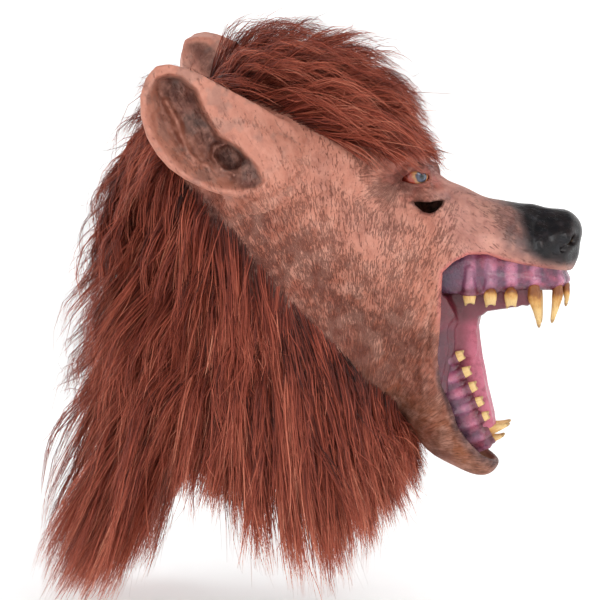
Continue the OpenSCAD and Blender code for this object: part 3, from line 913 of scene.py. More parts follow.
def paint_skin(verts, quads, normals, form):
    """Colours, stroke colours and other values of the skin's vertices."""
    x, f, z = np.abs(verts[:, 0]), verts[:, 1], verts[:, 2]
    wander = fractal_noise(verts / 17.0, 3) * 6.0
    f1, z1 = f + wander, z + fractal_noise(verts / 17.0 + 40, 3) * 6.0
    blotch = fractal_noise(verts / 11.0 + 9, 3)
    paint = base_coat(verts, (190, 120, 98))
    paint = over(paint, (200, 134, 114), 0.6 * spot(f1, z1, (30, 62), (42, 26)))
    paint = over(paint, (204, 142, 124), 0.7 * spot(f1, z1, (72, 20), (26, 26)))
    cheek = smoothstep(12, -16, polygon(f1, z1, LOWER_CHEEK))
    paint = over(paint, (146, 78, 58), 0.85 * cheek)
    paint = over(paint, (176, 104, 80), 0.5 * spot(f1, z1, (84, -70), (16, 28)))
    muzzle = smoothstep(98, 124, f1) * smoothstep(-34, -12, z)
    paint = over(paint, (202, 146, 134), 0.8 * muzzle)
    paint = over(paint, (150, 100, 88), 0.55 * muzzle * smoothstep(20, 38, z1) * smoothstep(116, 146, f))
    # jaw and throat
    _, ja, ju = into_jaw((x, f, z))
    jaw = smoothstep(-86, -112, z1 + 0.4 * (f - 100))
    paint = over(paint, (132, 72, 44), 0.9 * jaw)
    paint = over(paint, (160, 98, 60), 0.45 * jaw * spot(ja, ju, (84, -26), (16, 12)))
    # eye surroundings
    around = spot(f1, z1, (EYE[1] + 2, EYE[2] + 1), (19, 13))
    paint = over(paint, (176, 84, 78), 0.75 * around)
    paint = over(paint, (120, 40, 40), 0.9 * spot(f, z, (EYE[1] - 3, EYE[2] + 1), (10, 5.5)))
    # a pink painted highlight on the brow ridge, and painted shade in the crease above the eye
    paint = over(paint, (228, 150, 140), 0.6 * spot(f, z, (EYE[1] - 4, EYE[2] + 12), (14, 4)))
    paint = over(paint, (92, 42, 40), 0.7 * spot(f, z, (EYE[1] + 9, EYE[2] + 8), (9, 4)))
    paint = over(paint, (110, 80, 84), 0.6 * spot(f, z, (110, 39), (8, 4)))
    # painted shade: the walls and rim of each vision slit are painted dark
    slit = polygon(f, z, SLIT)
    paint = over(paint, (70, 34, 32), 0.85 * smoothstep(2.2, 0.2, slit) * (x > 14))
    # blotches, a painted highlight dry-brushed on the high places and painted shade washed into the folds
    paint = over(paint, (228, 172, 152), 0.35 * smoothstep(0.15, 0.7, blotch))
    paint = over(paint, (128, 66, 52), 0.35 * smoothstep(-0.15, -0.7, blotch))
    deep = hollows(verts, quads, normals)
    paint = over(paint, (84, 38, 32), 0.85 * smoothstep(0.02, 0.20, deep))
    paint = over(paint, (236, 176, 156), 0.5 * smoothstep(-0.03, -0.20, deep))
    # lips: a rosy rim above, dark grey below
    gap = polygon(f, z, MOUTH)
    upper = smoothstep(-58, -34, z)
    rim = smoothstep(3.4, 0.6, gap)
    paint = over(paint, (206, 112, 108), 0.85 * rim * upper * smoothstep(200, 170, f))
    paint = over(paint, (150, 110, 100), 0.55 * rim * upper * smoothstep(168, 192, f))
    low_rim = smoothstep(4.5 + 4 * smoothstep(40, 90, ja), 0.6, gap) * (1 - upper)
    paint = over(paint, (66, 52, 60), 0.9 * low_rim * smoothstep(-60, -84, z))
    paint = over(paint, (196, 124, 104), 0.6 * low_rim * smoothstep(-84, -60, z))
    # the nose, black with grey dry-brushing, fading back along the bridge
    nose = smoothstep(5.0, -5.0, polygon(f1 * 0.25 + f * 0.75, z1 * 0.2 + z * 0.8, NOSE_LINE))
    faded = smoothstep(18, 2, polygon(f1, z1, NOSE_LINE))
    paint = over(paint, (98, 84, 84), 0.8 * faded * smoothstep(-14, 4, z))
    paint = over(paint, (15, 15, 19), nose)
    paint = over(paint, (70, 68, 76), 0.2 * nose * smoothstep(0.2, 0.8, fractal_noise(verts / 4.0, 3)))
    # inside: raw latex in the head's hollow, painted shade near black behind the vision slits and in the tip of
    # the snout, dark red behind the lips
    inside = smoothstep(INNER_SIDE, INNER_SIDE - 0.8, form)
    back_of_lips = inside * smoothstep(10, -2, gap)
    paint = over(paint, (196, 156, 118), inside)
    paint = over(paint, (24, 16, 16), inside * smoothstep(34, 20, np.hypot(f - 98, z - 34)))
    paint = over(paint, (22, 18, 20), inside * smoothstep(152, 168, f))
    paint = over(paint, (116, 44, 56), back_of_lips)

    stroke_colour = base_coat(verts, (92, 44, 36))
    stroke_colour = over(stroke_colour, (66, 28, 24), cheek)
    stroke_colour = over(stroke_colour, (120, 78, 70), muzzle * 0.7)
    stroke_colour = over(stroke_colour, (96, 48, 24), jaw)
    stroke_colour = over(stroke_colour, (26, 26, 30), nose)
    density = 0.70 + 0.28 * cheek - 0.34 * smoothstep(20, 56, z1) * smoothstep(66, 40, f)
    density -= 0.24 * muzzle
    density += 0.15 * spot(f1, z1, (70, 42), (14, 14))
    density += 0.2 * blotch
    density = density * (1 - inside) * (1 - 0.8 * nose)
    down = verts[:, 1:] - STROKES_MEET
    out = verts[:, 1:] - [EYE[1] - 6, EYE[2] + 1]
    angle_down, angle_out = np.arctan2(*down.T), np.arctan2(out[:, 1], -out[:, 0])
    flow_cheek = np.stack([angle_down * 110, np.linalg.norm(down, axis=1), verts[:, 0]], axis=1)
    flow_eye = np.stack([angle_out * 45, np.linalg.norm(out, axis=1), verts[:, 0]], axis=1)
    eye_zone = np.maximum(spot(f, z, (84, 46), (34, 22), 2.0), smoothstep(112, 128, f) * (z > -30))
    return {"paint": paint, "paint_stroke": stroke_colour, "stroke": np.clip(density, 0, 1.1),
        "flow_cheek": flow_cheek, "flow_eye": flow_eye, "eye_zone": eye_zone, "gloss": 0.25 + 0.75 * nose}
# ---------------------------------------------------------------- the skin and its pieces

skin_grid = middle_grid([-106, -225], [96, 214, 132], STEP)
form_half, skin_half = skin_field(half_points(skin_grid))
form_values = mirrored(form_half)
skin_verts, skin_quads = skin_grid.net(mirrored(skin_half))
skin_verts = relax(skin_verts, skin_quads, 2)
skin_normals = normals_of(skin_verts, skin_quads)
skin_form = skin_grid.sample(form_values, skin_verts)
skin_values = paint_skin(skin_verts, skin_quads, skin_normals, skin_form)

# Under the fur the skin is painted dark
_, skin_f, skin_z = skin_verts.T
fur_line = np.minimum(polygon(skin_f, skin_z, CROWN_LINE), polygon(skin_f, skin_z, NAPE_LINE))
under_fur = smoothstep(4, -6, fur_line) * (skin_form > INNER_SIDE)
skin_values["paint"] = over(skin_values["paint"], (62, 27, 22), under_fur * 0.92)

# The jaw bends away from the face beyond a line through the corner of the mouth
BEND = np.array([0.85, -0.53]) / np.hypot(0.85, 0.53)
BEND_START, BEND_RUN = 10.0, 32.0
HOOD_SEAM = -24.0


def beyond_hinge(f, z):
    """How far past the hinge a place lies, along the jaw."""
    return (f - JAW_HINGE[0]) * BEND[0] + (z - JAW_HINGE[1]) * BEND[1]


def part_of(verts, quads, normals, values, keep):
    faces, used = keep_faces(quads, keep, len(verts))
    return verts[used], faces, normals[used], {key: value[used] for key, value in values.items()}


middles = skin_verts[skin_quads].mean(axis=1)
in_jaw_part = (beyond_hinge(middles[:, 1], middles[:, 2]) > BEND_START) & (middles[:, 2] < JAW_HINGE[1])
in_hood = (middles[:, 1] < HOOD_SEAM) & ~in_jaw_part


def skin_piece(name, keep, slot, strokes):
    """The kept faces of the skin, with a latex of their own."""
    verts, faces, normals, values = part_of(skin_verts, skin_quads, skin_normals, skin_values, keep)
    piece = add_piece(name, verts, faces, [skin_material(slot, strokes)], values, normals=normals)
    return piece


def at(f, z, x=0.0):
    """A place in the frame's metres."""
    return (x * MM, -f * MM, z * MM)


def follow_jaw(piece):
    """Bakes a piece's placement into its mesh."""
    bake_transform(piece)


face = skin_piece("skin_face", ~in_jaw_part & ~in_hood, "face_latex", 1.0)
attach(face, "head")
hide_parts("face_shell")
hood = skin_piece("skin_hood", in_hood, "hood_latex", 0.7)
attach(hood, "head")
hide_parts("hood_shell")
jaw = skin_piece("skin_jaw", in_jaw_part, "jaw_latex", 0.9)
follow_jaw(jaw)
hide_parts("lower_jaw")


ear_latex = skin_material("ear_latex", 0.5)


def make_ear(side, sign):
    """An ear and its root, made on the left and mirrored; the part that lies in the skin is left out."""
    root, lean = EARS[side]
    axes = ear_axes(lean)
    corners = np.array([np.array(root) + v * axes[1] + w * axes[2] + u * axes[0]
        for v in (-46, 40) for w in (-24, 114) for u in (-16, 14)])
    grid = Grid(corners.min(0) - 2, corners.max(0) + 2, 1.15)
    form, field = ear_field(grid.points, root, lean)
    verts, quads = grid.net(field)
    verts = relax(verts, quads, 1)
    normals = normals_of(verts, quads)
    above = grid.sample(form, verts)
    keep = (above[quads] > 0.12).all(axis=1)
    values = paint_skin(verts, quads, normals, np.zeros(len(verts)))
    u, v, w = into_ear(verts.T, root, lean)
    cup = -polygon(v, w, EAR_CUP)
    faces_out = normals @ axes[0]
    inner = smoothstep(-1.0, 5.0, cup) * smoothstep(-0.5, 0.1, faces_out)
    blotch = fractal_noise(verts / 8.0 + 3, 3)
    on_ear = smoothstep(4, 14, w)
    paint = over(values["paint"], (200, 134, 114), 0.8 * on_ear)
    paint = over(paint, (160, 100, 80), 0.85 * inner)
    # painted shade deep in the cup, in a strip along its front edge and in its bowl
    paint = over(paint, (112, 62, 46), 0.8 * inner * smoothstep(3, 12, cup) * smoothstep(-6, -12, u))
    cup_front_shade = smoothstep(0.5, 3.5, cup) * smoothstep(17, 5, v + 0.12 * (w - 30))
    paint = over(paint, (74, 36, 28), 0.85 * cup_front_shade)
    paint = over(paint, (50, 24, 20), 0.85 * np.exp(-(((v - 2) / 8) ** 2 + ((w - 29) / 11) ** 2)) * inner)
    paint = over(paint, (70, 38, 32), 0.6 * np.exp(-(((v + 1) / 6) ** 2 + ((w - 62) / 22) ** 2)) * inner)
    paint = over(paint, (120, 106, 100), 0.35 * smoothstep(0.1, 0.6, blotch) * on_ear)
    # painted shade in the hollows and a painted highlight on the high places
    deep = hollows(verts, quads, normals)
    paint = over(paint, (70, 36, 30), 0.9 * smoothstep(0.02, 0.16, deep))
    paint = over(paint, (228, 168, 148), 0.6 * smoothstep(-0.03, -0.16, deep))
    values["paint"] = paint
    values["stroke"] = values["stroke"] * (1 - on_ear * 0.55) + 0.1 * inner
    verts[:, 0] *= sign
    normals[:, 0] *= sign
    if sign < 0:
        quads = quads[:, ::-1]
    verts, faces, normals, values = part_of(verts, quads, normals, values, keep)
    piece = add_piece("ear_skin_" + side, verts, faces, [ear_latex], values, normals=normals)
    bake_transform(piece)
    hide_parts("ear_" + side)


for side, sign in SIDES:
    make_ear(side, sign)

# ---------------------------------------------------------------- the mouth's pieces

gum_flesh = flesh_material("gum_flesh", 0.3, rgb(150, 80, 110))
lining_flesh = flesh_material("lining_flesh", 0.38, rgb(120, 40, 56))
enamel = tooth_material()
MOUTH_STEP = 0.8


def paint_gum(verts, quads, normals, arch, teeth, edge, up):
    """Mauve over the roots, lighter on them as a painted highlight, dark purple between them as painted shade,
    and stained round the teeth.
    """
    x, f, h = np.abs(verts[:, 0]), verts[:, 1], verts[:, 2]
    paint = base_coat(verts, (168, 100, 130))
    near = np.full(len(verts), 99.0)
    for _, angle, _, _, width, _ in teeth:
        (tx, tf), along = arch_point(arch, angle)
        sideways = np.abs((x - tx) * along[0] + (f - tf) * along[1]) / (width * 0.5)
        near = np.minimum(near, sideways + 0.02 * np.hypot(x - tx, f - tf))
    blotch = fractal_noise(verts / 7.0, 3)
    # a painted highlight on the root ridges and painted shade in the valleys between them
    paint = over(paint, (208, 136, 160), 0.75 * smoothstep(0.85, 0.25, near))
    paint = over(paint, (84, 34, 58), 0.8 * smoothstep(0.75, 1.2, near))
    paint = over(paint, (190, 90, 112), 0.5 * smoothstep(0.0, 0.6, blotch))
    paint = over(paint, (88, 70, 92), 0.45 * smoothstep(0.0, -0.6, blotch))
    rise = (h - edge) * up
    paint = over(paint, (96, 34, 42), 0.85 * smoothstep(5.0, 0.5, rise))
    # painted shade in the hollows and a painted highlight on the high places
    deep = hollows(verts, quads, normals)
    paint = over(paint, (66, 24, 36), 0.85 * smoothstep(0.01, 0.09, deep))
    return over(paint, (226, 160, 176), 0.5 * smoothstep(-0.02, -0.1, deep))


def mouth_net(low, high, field):
    """Vertices, quads and normals of a field that is the same on both sides."""
    grid = middle_grid(low, high, MOUTH_STEP)
    verts, quads = grid.net(mirrored(field(half_points(grid))))
    verts = relax(verts, quads, 1)
    return verts, quads, normals_of(verts, quads)


def make_gum(name, low, high, field, arch, teeth, edge, up):
    """The upper gum (up is 1), or the lower one (up is -1), which is modelled in the jaw's own frame."""
    verts, quads, normals = mouth_net(low, high, field)
    paint = paint_gum(verts, quads, normals, arch, teeth, edge, up)
    if up < 0:
        paint = over(paint, (72, 58, 72), 0.75 * smoothstep(6, 14, -(verts[:, 2] - edge)))
        verts = out_of_jaw(verts)
        normals = normals_of(verts, quads)
    else:
        paint = over(paint, (86, 70, 92), 0.7 * smoothstep(128, 112, verts[:, 1]))
    values = {"paint": paint, "paint_stroke": base_coat(verts, (110, 60, 90))}
    piece = add_piece(name, verts, quads, [gum_flesh], values, normals=normals)
    return piece


UPPER = (UPPER_GUM, UPPER_TEETH, UPPER_EDGE, 1)
LOWER = (LOWER_GUM, LOWER_TEETH, LOWER_EDGE, -1)
piece = make_gum("gum_upper", [96, -34], [36, 202, 12], upper_gum_field, *UPPER)
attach(piece, "head")
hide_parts("upper_gum")
piece = make_gum("gum_lower", [-30, -30], [34, 92, 4], lower_gum_field, *LOWER)
follow_jaw(piece)
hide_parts("lower_gum")


def paint_lining(verts, quads, normals):
    """Pink flesh, darker at the roof and down the throat, and grey at the cheeks."""
    x, f, z = np.abs(verts[:, 0]), verts[:, 1], verts[:, 2]
    paint = base_coat(verts, (178, 84, 106))
    paint = over(paint, (198, 104, 128), 0.8 * smoothstep(-52, -80, z))
    paint = over(paint, (98, 40, 50), 0.85 * smoothstep(-52, -43, z))
    paint = over(paint, (86, 80, 96), 0.85 * smoothstep(21, 28, x) * smoothstep(-46, -56, z))
    paint = over(paint, (86, 24, 34), 0.7 * smoothstep(129, 120, f))
    # painted shade in the folds
    return over(paint, (64, 20, 30), 0.8 * smoothstep(0.02, 0.12, hollows(verts, quads, normals)))


# The lining is one surface, cut into roof, throat and floor at these heights
PALATE_LOW, FLOOR_TOP = -43.0, -76.0
lining_verts, lining_quads, lining_normals = mouth_net([104, -150], [48, 180, -12], lining_field)
lining_values = {"paint": paint_lining(lining_verts, lining_quads, lining_normals),
    "paint_stroke": base_coat(lining_verts, (130, 40, 60))}
lining_z = lining_verts[lining_quads].mean(axis=1)[:, 2]
for name, node, keep in (
    ("mouth_roof", "palate", lining_z > PALATE_LOW),
    ("mouth_throat", "throat_lining", (lining_z <= PALATE_LOW) & (lining_z > FLOOR_TOP)),
    ("mouth_floor_flesh", "mouth_floor", lining_z <= FLOOR_TOP)):
    verts, faces, normals, values = part_of(lining_verts, lining_quads, lining_normals, lining_values, keep)
    piece = add_piece(name, verts, faces, [lining_flesh], values, normals=normals)
    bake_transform(piece)
    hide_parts(node)


def handed(v):
    """Whether a mesh is right- or left-handed, from three of its edges."""
    return np.linalg.det(v[[1, 2, -1]] - v[0]) > 0


def make_teeth(prefix, arch, teeth, edge, up, body):
    """Each tooth of a gum on both sides, stained towards its root."""
    for number, (name, angle, kind, length, width, lean) in enumerate(teeth):
        verts, quads = tooth_mesh(kind, length + TOOTH_SUNK, width, lean, 0.5)
        down = verts[:, 2] / length
        noise = fractal_noise(verts / 3.0 + 5 * number, 3)
        paint = base_coat(verts, (232, 196, 132))
        paint = over(paint, (206, 146, 68), smoothstep(0.75, 0.15, down + 0.14 * noise))
        paint = over(paint, (122, 62, 30), 0.9 * smoothstep(0.38, 0.10, down + 0.08 * noise))
        paint = over(paint, (120, 76, 44), 0.55 * smoothstep(0.94, 1.02, down))
        turn = np.arctan2(verts[:, 1], verts[:, 0])
        flow = np.stack([turn * width * 0.5, verts[:, 2], verts[:, 0] + 9 * number], axis=1)
        values = {"paint": paint, "flow_cheek": flow}
        placed = place_tooth(verts, arch, angle, edge, up, 1.8 if kind == "cheek" else 0.4)
        for side, sign in SIDES:
            v = placed * [sign, 1, 1]
            if up < 0:
                v = out_of_jaw(v)
            faces = quads if handed(v) == handed(verts) else quads[:, ::-1]
            piece = add_piece(f"tooth_{prefix}_{name}_{side}", v, faces, [enamel], values)
            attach(piece, body)
            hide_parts(f"{prefix}_{name}_{side}")


make_teeth("upper", *UPPER, "head")
make_teeth("lower", *LOWER, "jaw")

# ---------------------------------------------------------------- eyes

eye_paint = eye_material()
GAZE = np.array([0.80, 0.58, 0.06])
GAZE = GAZE / np.linalg.norm(GAZE)


def make_eye(side, sign):
    """An eyeball with a domed cornea: rings of vertices round the direction of its gaze."""
    rings, around = 48, 72
    a = np.linspace(0.0, math.pi, rings)[:, None]
    b = np.linspace(0.0, 2 * math.pi, around, endpoint=False)[None]
    e1 = np.cross(GAZE, [0, 0, 1.0])
    e1 /= np.linalg.norm(e1)
    e2 = np.cross(e1, GAZE)
    r = EYE_R + 0.5 * np.exp(-((a / 0.36) ** 2)) + 0 * b
    parts = (np.cos(a) * r, np.sin(a) * np.cos(b) * r, np.sin(a) * np.sin(b) * r)
    points = sum(part[..., None] * axis for part, axis in zip(parts, (GAZE, e1, e2)))
    verts = (points + EYE).reshape(-1, 3)
    i, j = np.meshgrid(np.arange(rings - 1), np.arange(around), indexing="ij")
    k = (j + 1) % around
    low, high = i * around, (i + 1) * around
    quads = np.stack([low + j, high + j, high + k, low + k], axis=-1).reshape(-1, 4)
    angle = np.repeat(a[:, 0], around)
    noise = fractal_noise(verts / 3.0, 3)
    spokes = fractal_noise(np.stack([np.tile(b[0], rings) * 9, angle * 4, angle * 0], axis=1), 2)
    paint = base_coat(verts, (182, 130, 84))
    paint = over(paint, (164, 52, 38), 0.9 * smoothstep(0.48, 0.75, angle + 0.16 * noise))
    paint = over(paint, (96, 26, 20), 0.9 * smoothstep(0.85, 1.15, angle + 0.12 * noise))
    paint = over(paint, (52, 52, 66), smoothstep(0.48, 0.38, angle + 0.05 * noise))
    paint = over(paint, (78, 86, 106), smoothstep(0.40, 0.28, angle + 0.08 * spokes) * (0.75 + 0.4 * spokes))
    paint = over(paint, (16, 14, 18), smoothstep(0.21, 0.17, angle))
    values = {"paint": paint, "stroke": smoothstep(0.5, 0.7, angle)}
    outward = np.sum(normals_of(verts, quads) * (verts - EYE)) > 0
    verts = verts * [sign, 1, 1]
    if outward != (sign > 0):
        quads = quads[:, ::-1]
    piece = add_piece("eyeball_" + side, verts, quads, [eye_paint], values)
    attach(piece, "head")
    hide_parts("eye_" + side)


for side, sign in SIDES:
    make_eye(side, sign)
# ---------------------------------------------------------------- fur

# sRGB tones of the strands, from the darkest
FUR_TONES = [(44, 17, 12), (68, 27, 20), (94, 38, 28), (120, 51, 38), (144, 66, 49), (166, 82, 62),
    (187, 101, 78), (205, 122, 97), (220, 144, 117)]
fur_random = np.random.default_rng(23)
STRAND_SEGMENTS = 6
# How far down the tips hang, [forward, height], along the hem
HEM = np.array([[-190, -185], [-173, -215], [-160, -240], [-145, -238], [-130, -224], [-115, -230],
    [-102, -210], [-97, -183], [-91, -158], [-84, -134], [-72, -134], [-64, -150], [-47, -154], [-32, -168],
    [-15, -178], [-8, -189], [12, -208], [48, -200], [60, -178], [78, -158], [88, -148], [96, -125]])


GUIDE_STEPS = 10


def hem_height(f):
    return np.interp(f, HEM[:, 0], HEM[:, 1])


def outward(points):
    """Distance outside the plain form, and the direction away from it."""
    h = 0.5
    columns = [points[:, i].astype(F32) for i in range(3)]
    d = head_form(columns)
    moved = [[c + F32(h * (i == k)) for k, c in enumerate(columns)] for i in range(3)]
    slope = np.stack([head_form(q) - d for q in moved], axis=1)
    return d, unit(slope)


def fur_roots(count, outline, extra=None):
    """Random places on the outside of the skin, within a side outline."""
    centre = skin_verts[skin_quads].mean(axis=1)
    face_form = skin_form[skin_quads].max(axis=1)
    wanted = (polygon(centre[:, 1], centre[:, 2], outline) < 0) & (face_form > -1.2)
    weight = np.ones(len(centre)) if extra is None else extra(centre)
    chosen = np.nonzero(wanted)[0]
    weight = weight[chosen] / weight[chosen].sum()
    picked = fur_random.choice(chosen, count, p=weight)
    mix = fur_random.random((count, 4))
    mix /= mix.sum(axis=1, keepdims=True)
    return (skin_verts[skin_quads[picked]] * mix[..., None]).sum(axis=1)


def guide_paths(roots, comb, lengths, lift, gravity):
    """One path for each tuft: it rises to its layer above the skin, follows the comb direction and hangs."""
    points = [roots.copy()]
    p = roots.copy()
    direction = None
    wander = fur_random.normal(0, 1, (len(roots), 3))
    for i in range(GUIDE_STEPS):
        t = i / GUIDE_STEPS
        d, n = outward(p)
        want = comb(p)
        near = smoothstep(-118, -92, p[:, 2])[:, None]
        along = want - n * np.sum(want * n, axis=1, keepdims=True) * near
        push = np.clip((lift * min(1, 0.25 + 2.2 * t) - d) / 9, -0.7, 1.15)[:, None] * near
        aim = unit(along) + n * push + wander * 0.16 + np.array([0, 0, -1]) * gravity * t
        wander += fur_random.normal(0, 0.55, wander.shape)
        wander *= 0.8
        direction = unit(aim) if direction is None else unit(direction * 0.45 + unit(aim) * 0.55)
        p = p + direction * (lengths / GUIDE_STEPS)[:, None]
        points.append(p.copy())
    return np.stack(points, axis=1)


def trim_at_hem(guides):
    """Ends each path where it passes below the hem."""
    last = guides.shape[1] - 1
    below = guides[..., 2] < hem_height(guides[..., 1]) + fur_random.normal(0, 9, (len(guides), 1))
    end = np.where(below.any(axis=1), below.argmax(axis=1), last).clip(2, last)
    at_t = np.linspace(0, 1, last + 1)[None] * end[:, None]
    k = np.minimum(at_t.astype(int), last - 1)
    rows = np.arange(len(guides))[:, None]
    part = (at_t - k)[..., None]
    return guides[rows, k] * (1 - part) + guides[rows, k + 1] * part


def strands_from(guides, guide_roots, roots, clump):
    """Strands that start at their own roots and gather towards the tip of the nearest guide, or of the next."""
    tree = KDTree(len(guide_roots))
    for i, r in enumerate(guide_roots):
        tree.insert(Vector(r), i)
    tree.balance()
    choices = [fur_random.integers(0, 2) if fur_random.random() < 0.3 else 0 for _ in roots]
    nearest = np.array([tree.find_n(Vector(r), 2)[choice][1] for r, choice in zip(roots, choices)])
    count = len(roots)
    reach = fur_random.uniform(0.5, 1.06, count) ** 0.8
    path = guides[nearest]
    last = path.shape[1] - 1
    out = []
    offset = roots - guide_roots[nearest]
    tight = np.clip(clump + fur_random.normal(0, 0.22, count), 0.0, 0.95)
    stray = np.where(fur_random.random(count) < 0.08, 3.0, 1.0) * fur_random.uniform(0.6, 1.5, count)
    waves = fur_random.normal(0, 1.3, (count, 3, 3))
    phase = fur_random.uniform(0, 6.28, (count, 3))
    rows = np.arange(count)

    def wave(t):
        return sum(waves[:, j] * np.sin(t * (2.2 + 3.3 * j) + phase[:, j, None]) * size
            for j, size in enumerate((2.4, 1.1, 0.55)))

    for t in np.linspace(0, 1, STRAND_SEGMENTS + 1):
        at_t = np.clip(t * reach * last, 0, last)
        k = np.minimum(at_t.astype(int), last - 1)
        w = (at_t - k)[:, None]
        p = path[rows, k] * (1 - w) + path[rows, k + 1] * w
        frizz = (wave(t) - wave(0) * (1 - t)) * stray[:, None] * t
        out.append(p + offset * (1 - tight * t**0.8)[:, None] + frizz)
    return np.stack(out, axis=1), nearest


def drawn_in(p):
    """Long stray ends are drawn in towards the mane."""
    x, f, z = p[..., 0], p[..., 1], p[..., 2]
    wide, behind, below = np.maximum(np.abs(x) - 102, 0), np.maximum(-162 - f, 0), np.maximum(-238 - z, 0)
    return np.stack([x - np.sign(x) * (wide - 14 * np.tanh(wide / 30)), f + behind - 13 * np.tanh(behind / 26),
        z + below - 14 * np.tanh(below / 26)], axis=-1)


MANE_MIDDLE = np.array([0.0, -10.0, -10.0])  # the ribbons face away from here


def fur_piece(name, paths, tuft, width, tone, tip_tone):
    """Flat tapering ribbons, one for each strand."""
    count, n = paths.shape[:2]
    paths = drawn_in(paths)
    tangent = unit(np.gradient(paths, axis=1))
    out = unit((paths - MANE_MIDDLE) * [1, 1, 0.4]) + fur_random.normal(0, 0.38, (count, 1, 3))
    sideways = unit(np.cross(tangent, out))
    taper = np.interp(np.linspace(0, 1, n), [0, 0.3, 0.75, 1], [0.9, 1.0, 0.7, 0.12])
    half = (width * 0.5 * fur_random.uniform(0.7, 1.25, count))[:, None] * taper[None]
    edge = sideways * half[..., None]
    verts = np.stack([paths - edge, paths + edge], axis=2).reshape(-1, 3)
    base = (np.arange(count) * n * 2)[:, None] + np.arange(n - 1)[None] * 2
    faces = np.stack([base, base + 1, base + 3, base + 2], axis=-1).reshape(-1, 4)
    tuft_tone = fur_random.normal(0, 0.75, tuft.max() + 1)[tuft]
    own = tone + tuft_tone + fur_random.normal(0, 1.0, count)
    along = np.interp(np.linspace(0, 1, n - 1), [0, 0.25, 0.7, 1], [-1.7, -0.5, 0.3, tip_tone])
    slots = np.clip(np.round(own[:, None] + along[None]), 0, len(FUR_TONES) - 1).astype(int).reshape(-1)
    piece = add_piece(name, verts, faces, fur_materials, None, slots)
    return piece


fur_materials = [plain_material(f"fur_tone_{i}", rgb(*tone), Roughness=0.5 + 0.02 * (i % 3),
    Specular_IOR_Level=0.22) for i, tone in enumerate(FUR_TONES)]
DENSITY = 1.0


def comb_crown(p):
    """The crown's fur lies forward over the brow, and backward behind the parting."""
    side = np.tanh(p[:, 0] / 25)
    forward = np.stack([0.22 * side, np.ones(len(p)), -0.05 - 0.25 * smoothstep(20, 70, p[:, 1])], axis=1)
    back = np.stack([0.15 * side, -0.5 * np.ones(len(p)), -0.6 * np.ones(len(p))], axis=1)
    split = smoothstep(-66, -42, p[:, 1])[:, None]
    return unit(forward * split + back * (1 - split))


def comb_nape(p):
    """The nape's fur hangs, and leans back behind the ear and forward below the jaw."""
    side = np.tanh(p[:, 0] / 40)
    lean = np.radians(np.interp(p[:, 1], [-120, -70, -25, 20, 60], [-24, -17, -3, 12, 14]))
    return unit(np.stack([0.10 * side, np.sin(lean), -np.cos(lean)], axis=1))


def grow(name, count, tufts, outline, comb, length, lift, gravity, clump, width, tone, tip_tone, extra=None,
    keep=None):
    """Fur inside an outline. extra weighs the places for roots, and keep says which roots are kept."""
    count, tufts = int(count * DENSITY), int(tufts * (DENSITY**0.5))
    roots, seeds = fur_roots(count, outline, extra), fur_roots(tufts, outline, extra)
    if keep is not None:
        roots, seeds = roots[keep(roots)], seeds[keep(seeds)]
    guides = trim_at_hem(guide_paths(seeds, comb, length(seeds), lift(seeds), gravity))
    paths, tuft = strands_from(guides, seeds, roots, clump)
    return fur_piece(name, paths, tuft, width, tone, tip_tone)


def crown_length(r):
    """Shorter towards the fringe over the brow."""
    shorter = smoothstep(25, 90, r[:, 1])
    return (66 - 46 * shorter) * fur_random.uniform(0.7, 1.3, len(r))


def crown_lift(r):
    """How high above the skin each tuft's layer lies, highest over the top of the head."""
    return fur_random.uniform(0.05, 1.0, len(r)) ** 0.8 * (33 - 26 * smoothstep(20, 80, r[:, 1]) +
        5 * spot(r[:, 1], r[:, 2], (10, 125), (30, 20)))


def nape_depth(r):
    """How thick the fur lies: thin at its edge on the cheek, thickest at the back of the neck."""
    edge = -polygon(r[:, 1], r[:, 2], NAPE_LINE)
    behind = smoothstep(-30, -85, r[:, 1])
    thick = 22 + 46 * behind * smoothstep(110, 10, r[:, 2])
    return thick * (0.25 + 0.75 * smoothstep(0, 45, edge))


def nape_lift(r):
    """A layer for each tuft, within the fur's thickness there."""
    return fur_random.uniform(0.04, 1.0, len(r)) ** 0.75 * nape_depth(r)


def between(low, high):
    """Random lengths in a range, one for each root."""
    return lambda r: fur_random.uniform(low, high, len(r))


def on_side(sign):
    return lambda r: r[:, 0] * sign > 0


def low_down(c):
    """More roots near the rim, where the tails hang from."""
    return 0.25 + smoothstep(-80, -99, c[:, 2]) * 3.0


BACK_TAIL = [[-220, -62], [-48, -62], [-48, -140], [-220, -140]]
SIDE_TAIL = [[-44, -62], [41, -62], [78, -101], [78, -140], [-44, -140]]

crown = grow("fur_crown_strands", 15500, 620, CROWN_LINE, comb_crown, crown_length, crown_lift, gravity=0.25,
    clump=0.45, width=0.55, tone=3.9, tip_tone=1.2)
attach(crown, "head")
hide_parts("fur_crown")
for side, sign in SIDES:
    nape = grow("fur_nape_strands_" + side, 31000, 1250, NAPE_LINE, comb_nape, between(70, 125), nape_lift,
        gravity=0.3, clump=0.55, width=0.6, tone=3.7, tip_tone=1.4, keep=on_side(sign))
    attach(nape, "head")
    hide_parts("fur_nape")
tail = grow("mane_back_strands", 15500, 420, BACK_TAIL, comb_nape, between(150, 190), nape_lift, gravity=0.2,
    clump=0.6, width=0.62, tone=3.9, tip_tone=1.8, extra=low_down)
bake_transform(tail)
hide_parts("mane_back")
for side, sign in SIDES:
    tail = grow("mane_strands_" + side, 20000, 560, SIDE_TAIL, comb_nape, between(150, 190), nape_lift,
        gravity=0.2, clump=0.6, width=0.62, tone=3.8, tip_tone=2.0, extra=low_down, keep=on_side(sign))
    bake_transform(tail)
    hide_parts("mane_" + side)
# ---------------------------------------------------------------- camera, stage and light

VIEW_AZIMUTH, VIEW_RISE = math.radians(277), math.radians(4.5)
VIEW_DISTANCE = 1.8
VIEW_WIDTH = 0.42  # metres across the picture at the wearer's head
AIM = (0.007, -0.035)  # what the picture is centred on, to the right of and above the head's centre

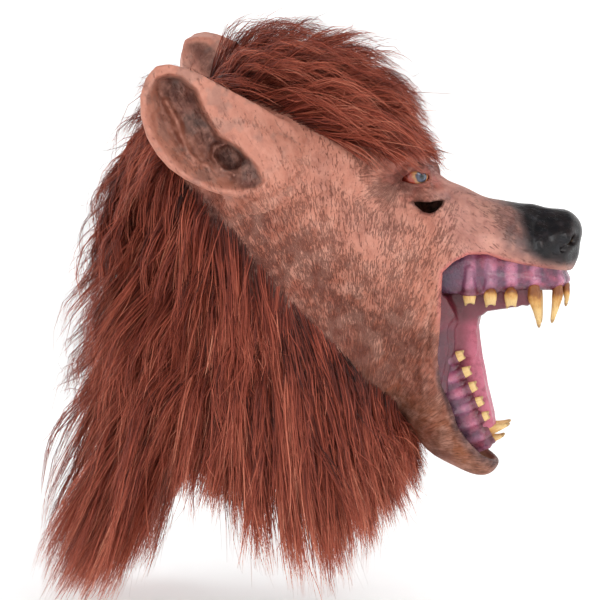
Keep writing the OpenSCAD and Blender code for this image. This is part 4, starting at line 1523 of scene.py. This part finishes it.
back = np.array([math.sin(VIEW_AZIMUTH) * math.cos(VIEW_RISE), -math.cos(VIEW_AZIMUTH) * math.cos(VIEW_RISE),
    math.sin(VIEW_RISE)])
right = np.array([math.cos(VIEW_AZIMUTH), math.sin(VIEW_AZIMUTH), 0])
up = np.cross(back, right)
camera = new_object("camera", bpy.data.cameras.new("camera"))
bpy.context.scene.camera = camera
camera.data.lens = camera.data.sensor_width * VIEW_DISTANCE / VIEW_WIDTH
camera.matrix_world = Matrix(np.column_stack([right, up, back]).tolist()).to_4x4()
camera.location = Vector(back * VIEW_DISTANCE + right * AIM[0] + up * AIM[1])


def add_light(name, place, size, power):
    """A round soft light, turned towards the head."""
    aim = (0, -0.05, -0.03)
    data = bpy.data.lights.new(name, "AREA")
    data.shape = "DISK"
    data.size = size
    data.energy = power
    light = new_object(name, data)
    light.location = place
    light.rotation_euler = (Vector(place) - Vector(aim)).to_track_quat("Z", "Y").to_euler()


add_light("key", (-1.3, -0.9, 1.3), 0.8, 8.5)
add_light("fill", (-1.5, 0.9, 0.2), 1.4, 1.2)
add_light("front", (0.2, -1.8, 0.3), 1.0, 1.2)
add_light("rim", (0.8, 0.6, 1.2), 0.8, 3)

world = bpy.data.worlds.new("studio")
bpy.context.scene.world = world
world.use_nodes = True
background = world.node_tree.nodes["Background"].inputs
background["Color"].default_value = (1, 1, 1, 1)
background["Strength"].default_value = 0.24
bpy.context.scene.view_settings.view_transform = "Standard"


def studio_floor():
    """A pale sheet that lies under the mask and curves up all round it, a long way off."""
    floor_z = cad_box[0][2] - 0.012
    bend = [(4.0 + 1.5 * math.sin(a), 1.5 - 1.5 * math.cos(a)) for a in np.linspace(0, math.pi / 2, 9)]
    rows = [(0.5, 0.0), (2.0, 0.0)] + bend + [(5.5, 5.0)]
    around = 64
    turns = np.linspace(0, 2 * math.pi, around, endpoint=False)
    points = [(0.0, 0.0, floor_z)]
    points += [(r * math.sin(t), r * math.cos(t), floor_z + rise) for r, rise in rows for t in turns]
    faces = [(0, 1 + (k + 1) % around, 1 + k) for k in range(around)]
    for i in range(len(rows) - 1):
        low, high = 1 + i * around, 1 + (i + 1) * around
        faces += [(low + k, low + (k + 1) % around, high + (k + 1) % around, high + k) for k in range(around)]
    mesh = bpy.data.meshes.new("studio_floor")
    mesh.from_pydata(points, [], faces)
    mesh.shade_smooth()
    floor = new_object("studio_floor", mesh)
    mesh.materials.append(plain_material("studio_paper", (0.9, 0.9, 0.9), Roughness=0.9,
        Emission_Color=(1, 1, 1, 1), Emission_Strength=0.44))


studio_floor()
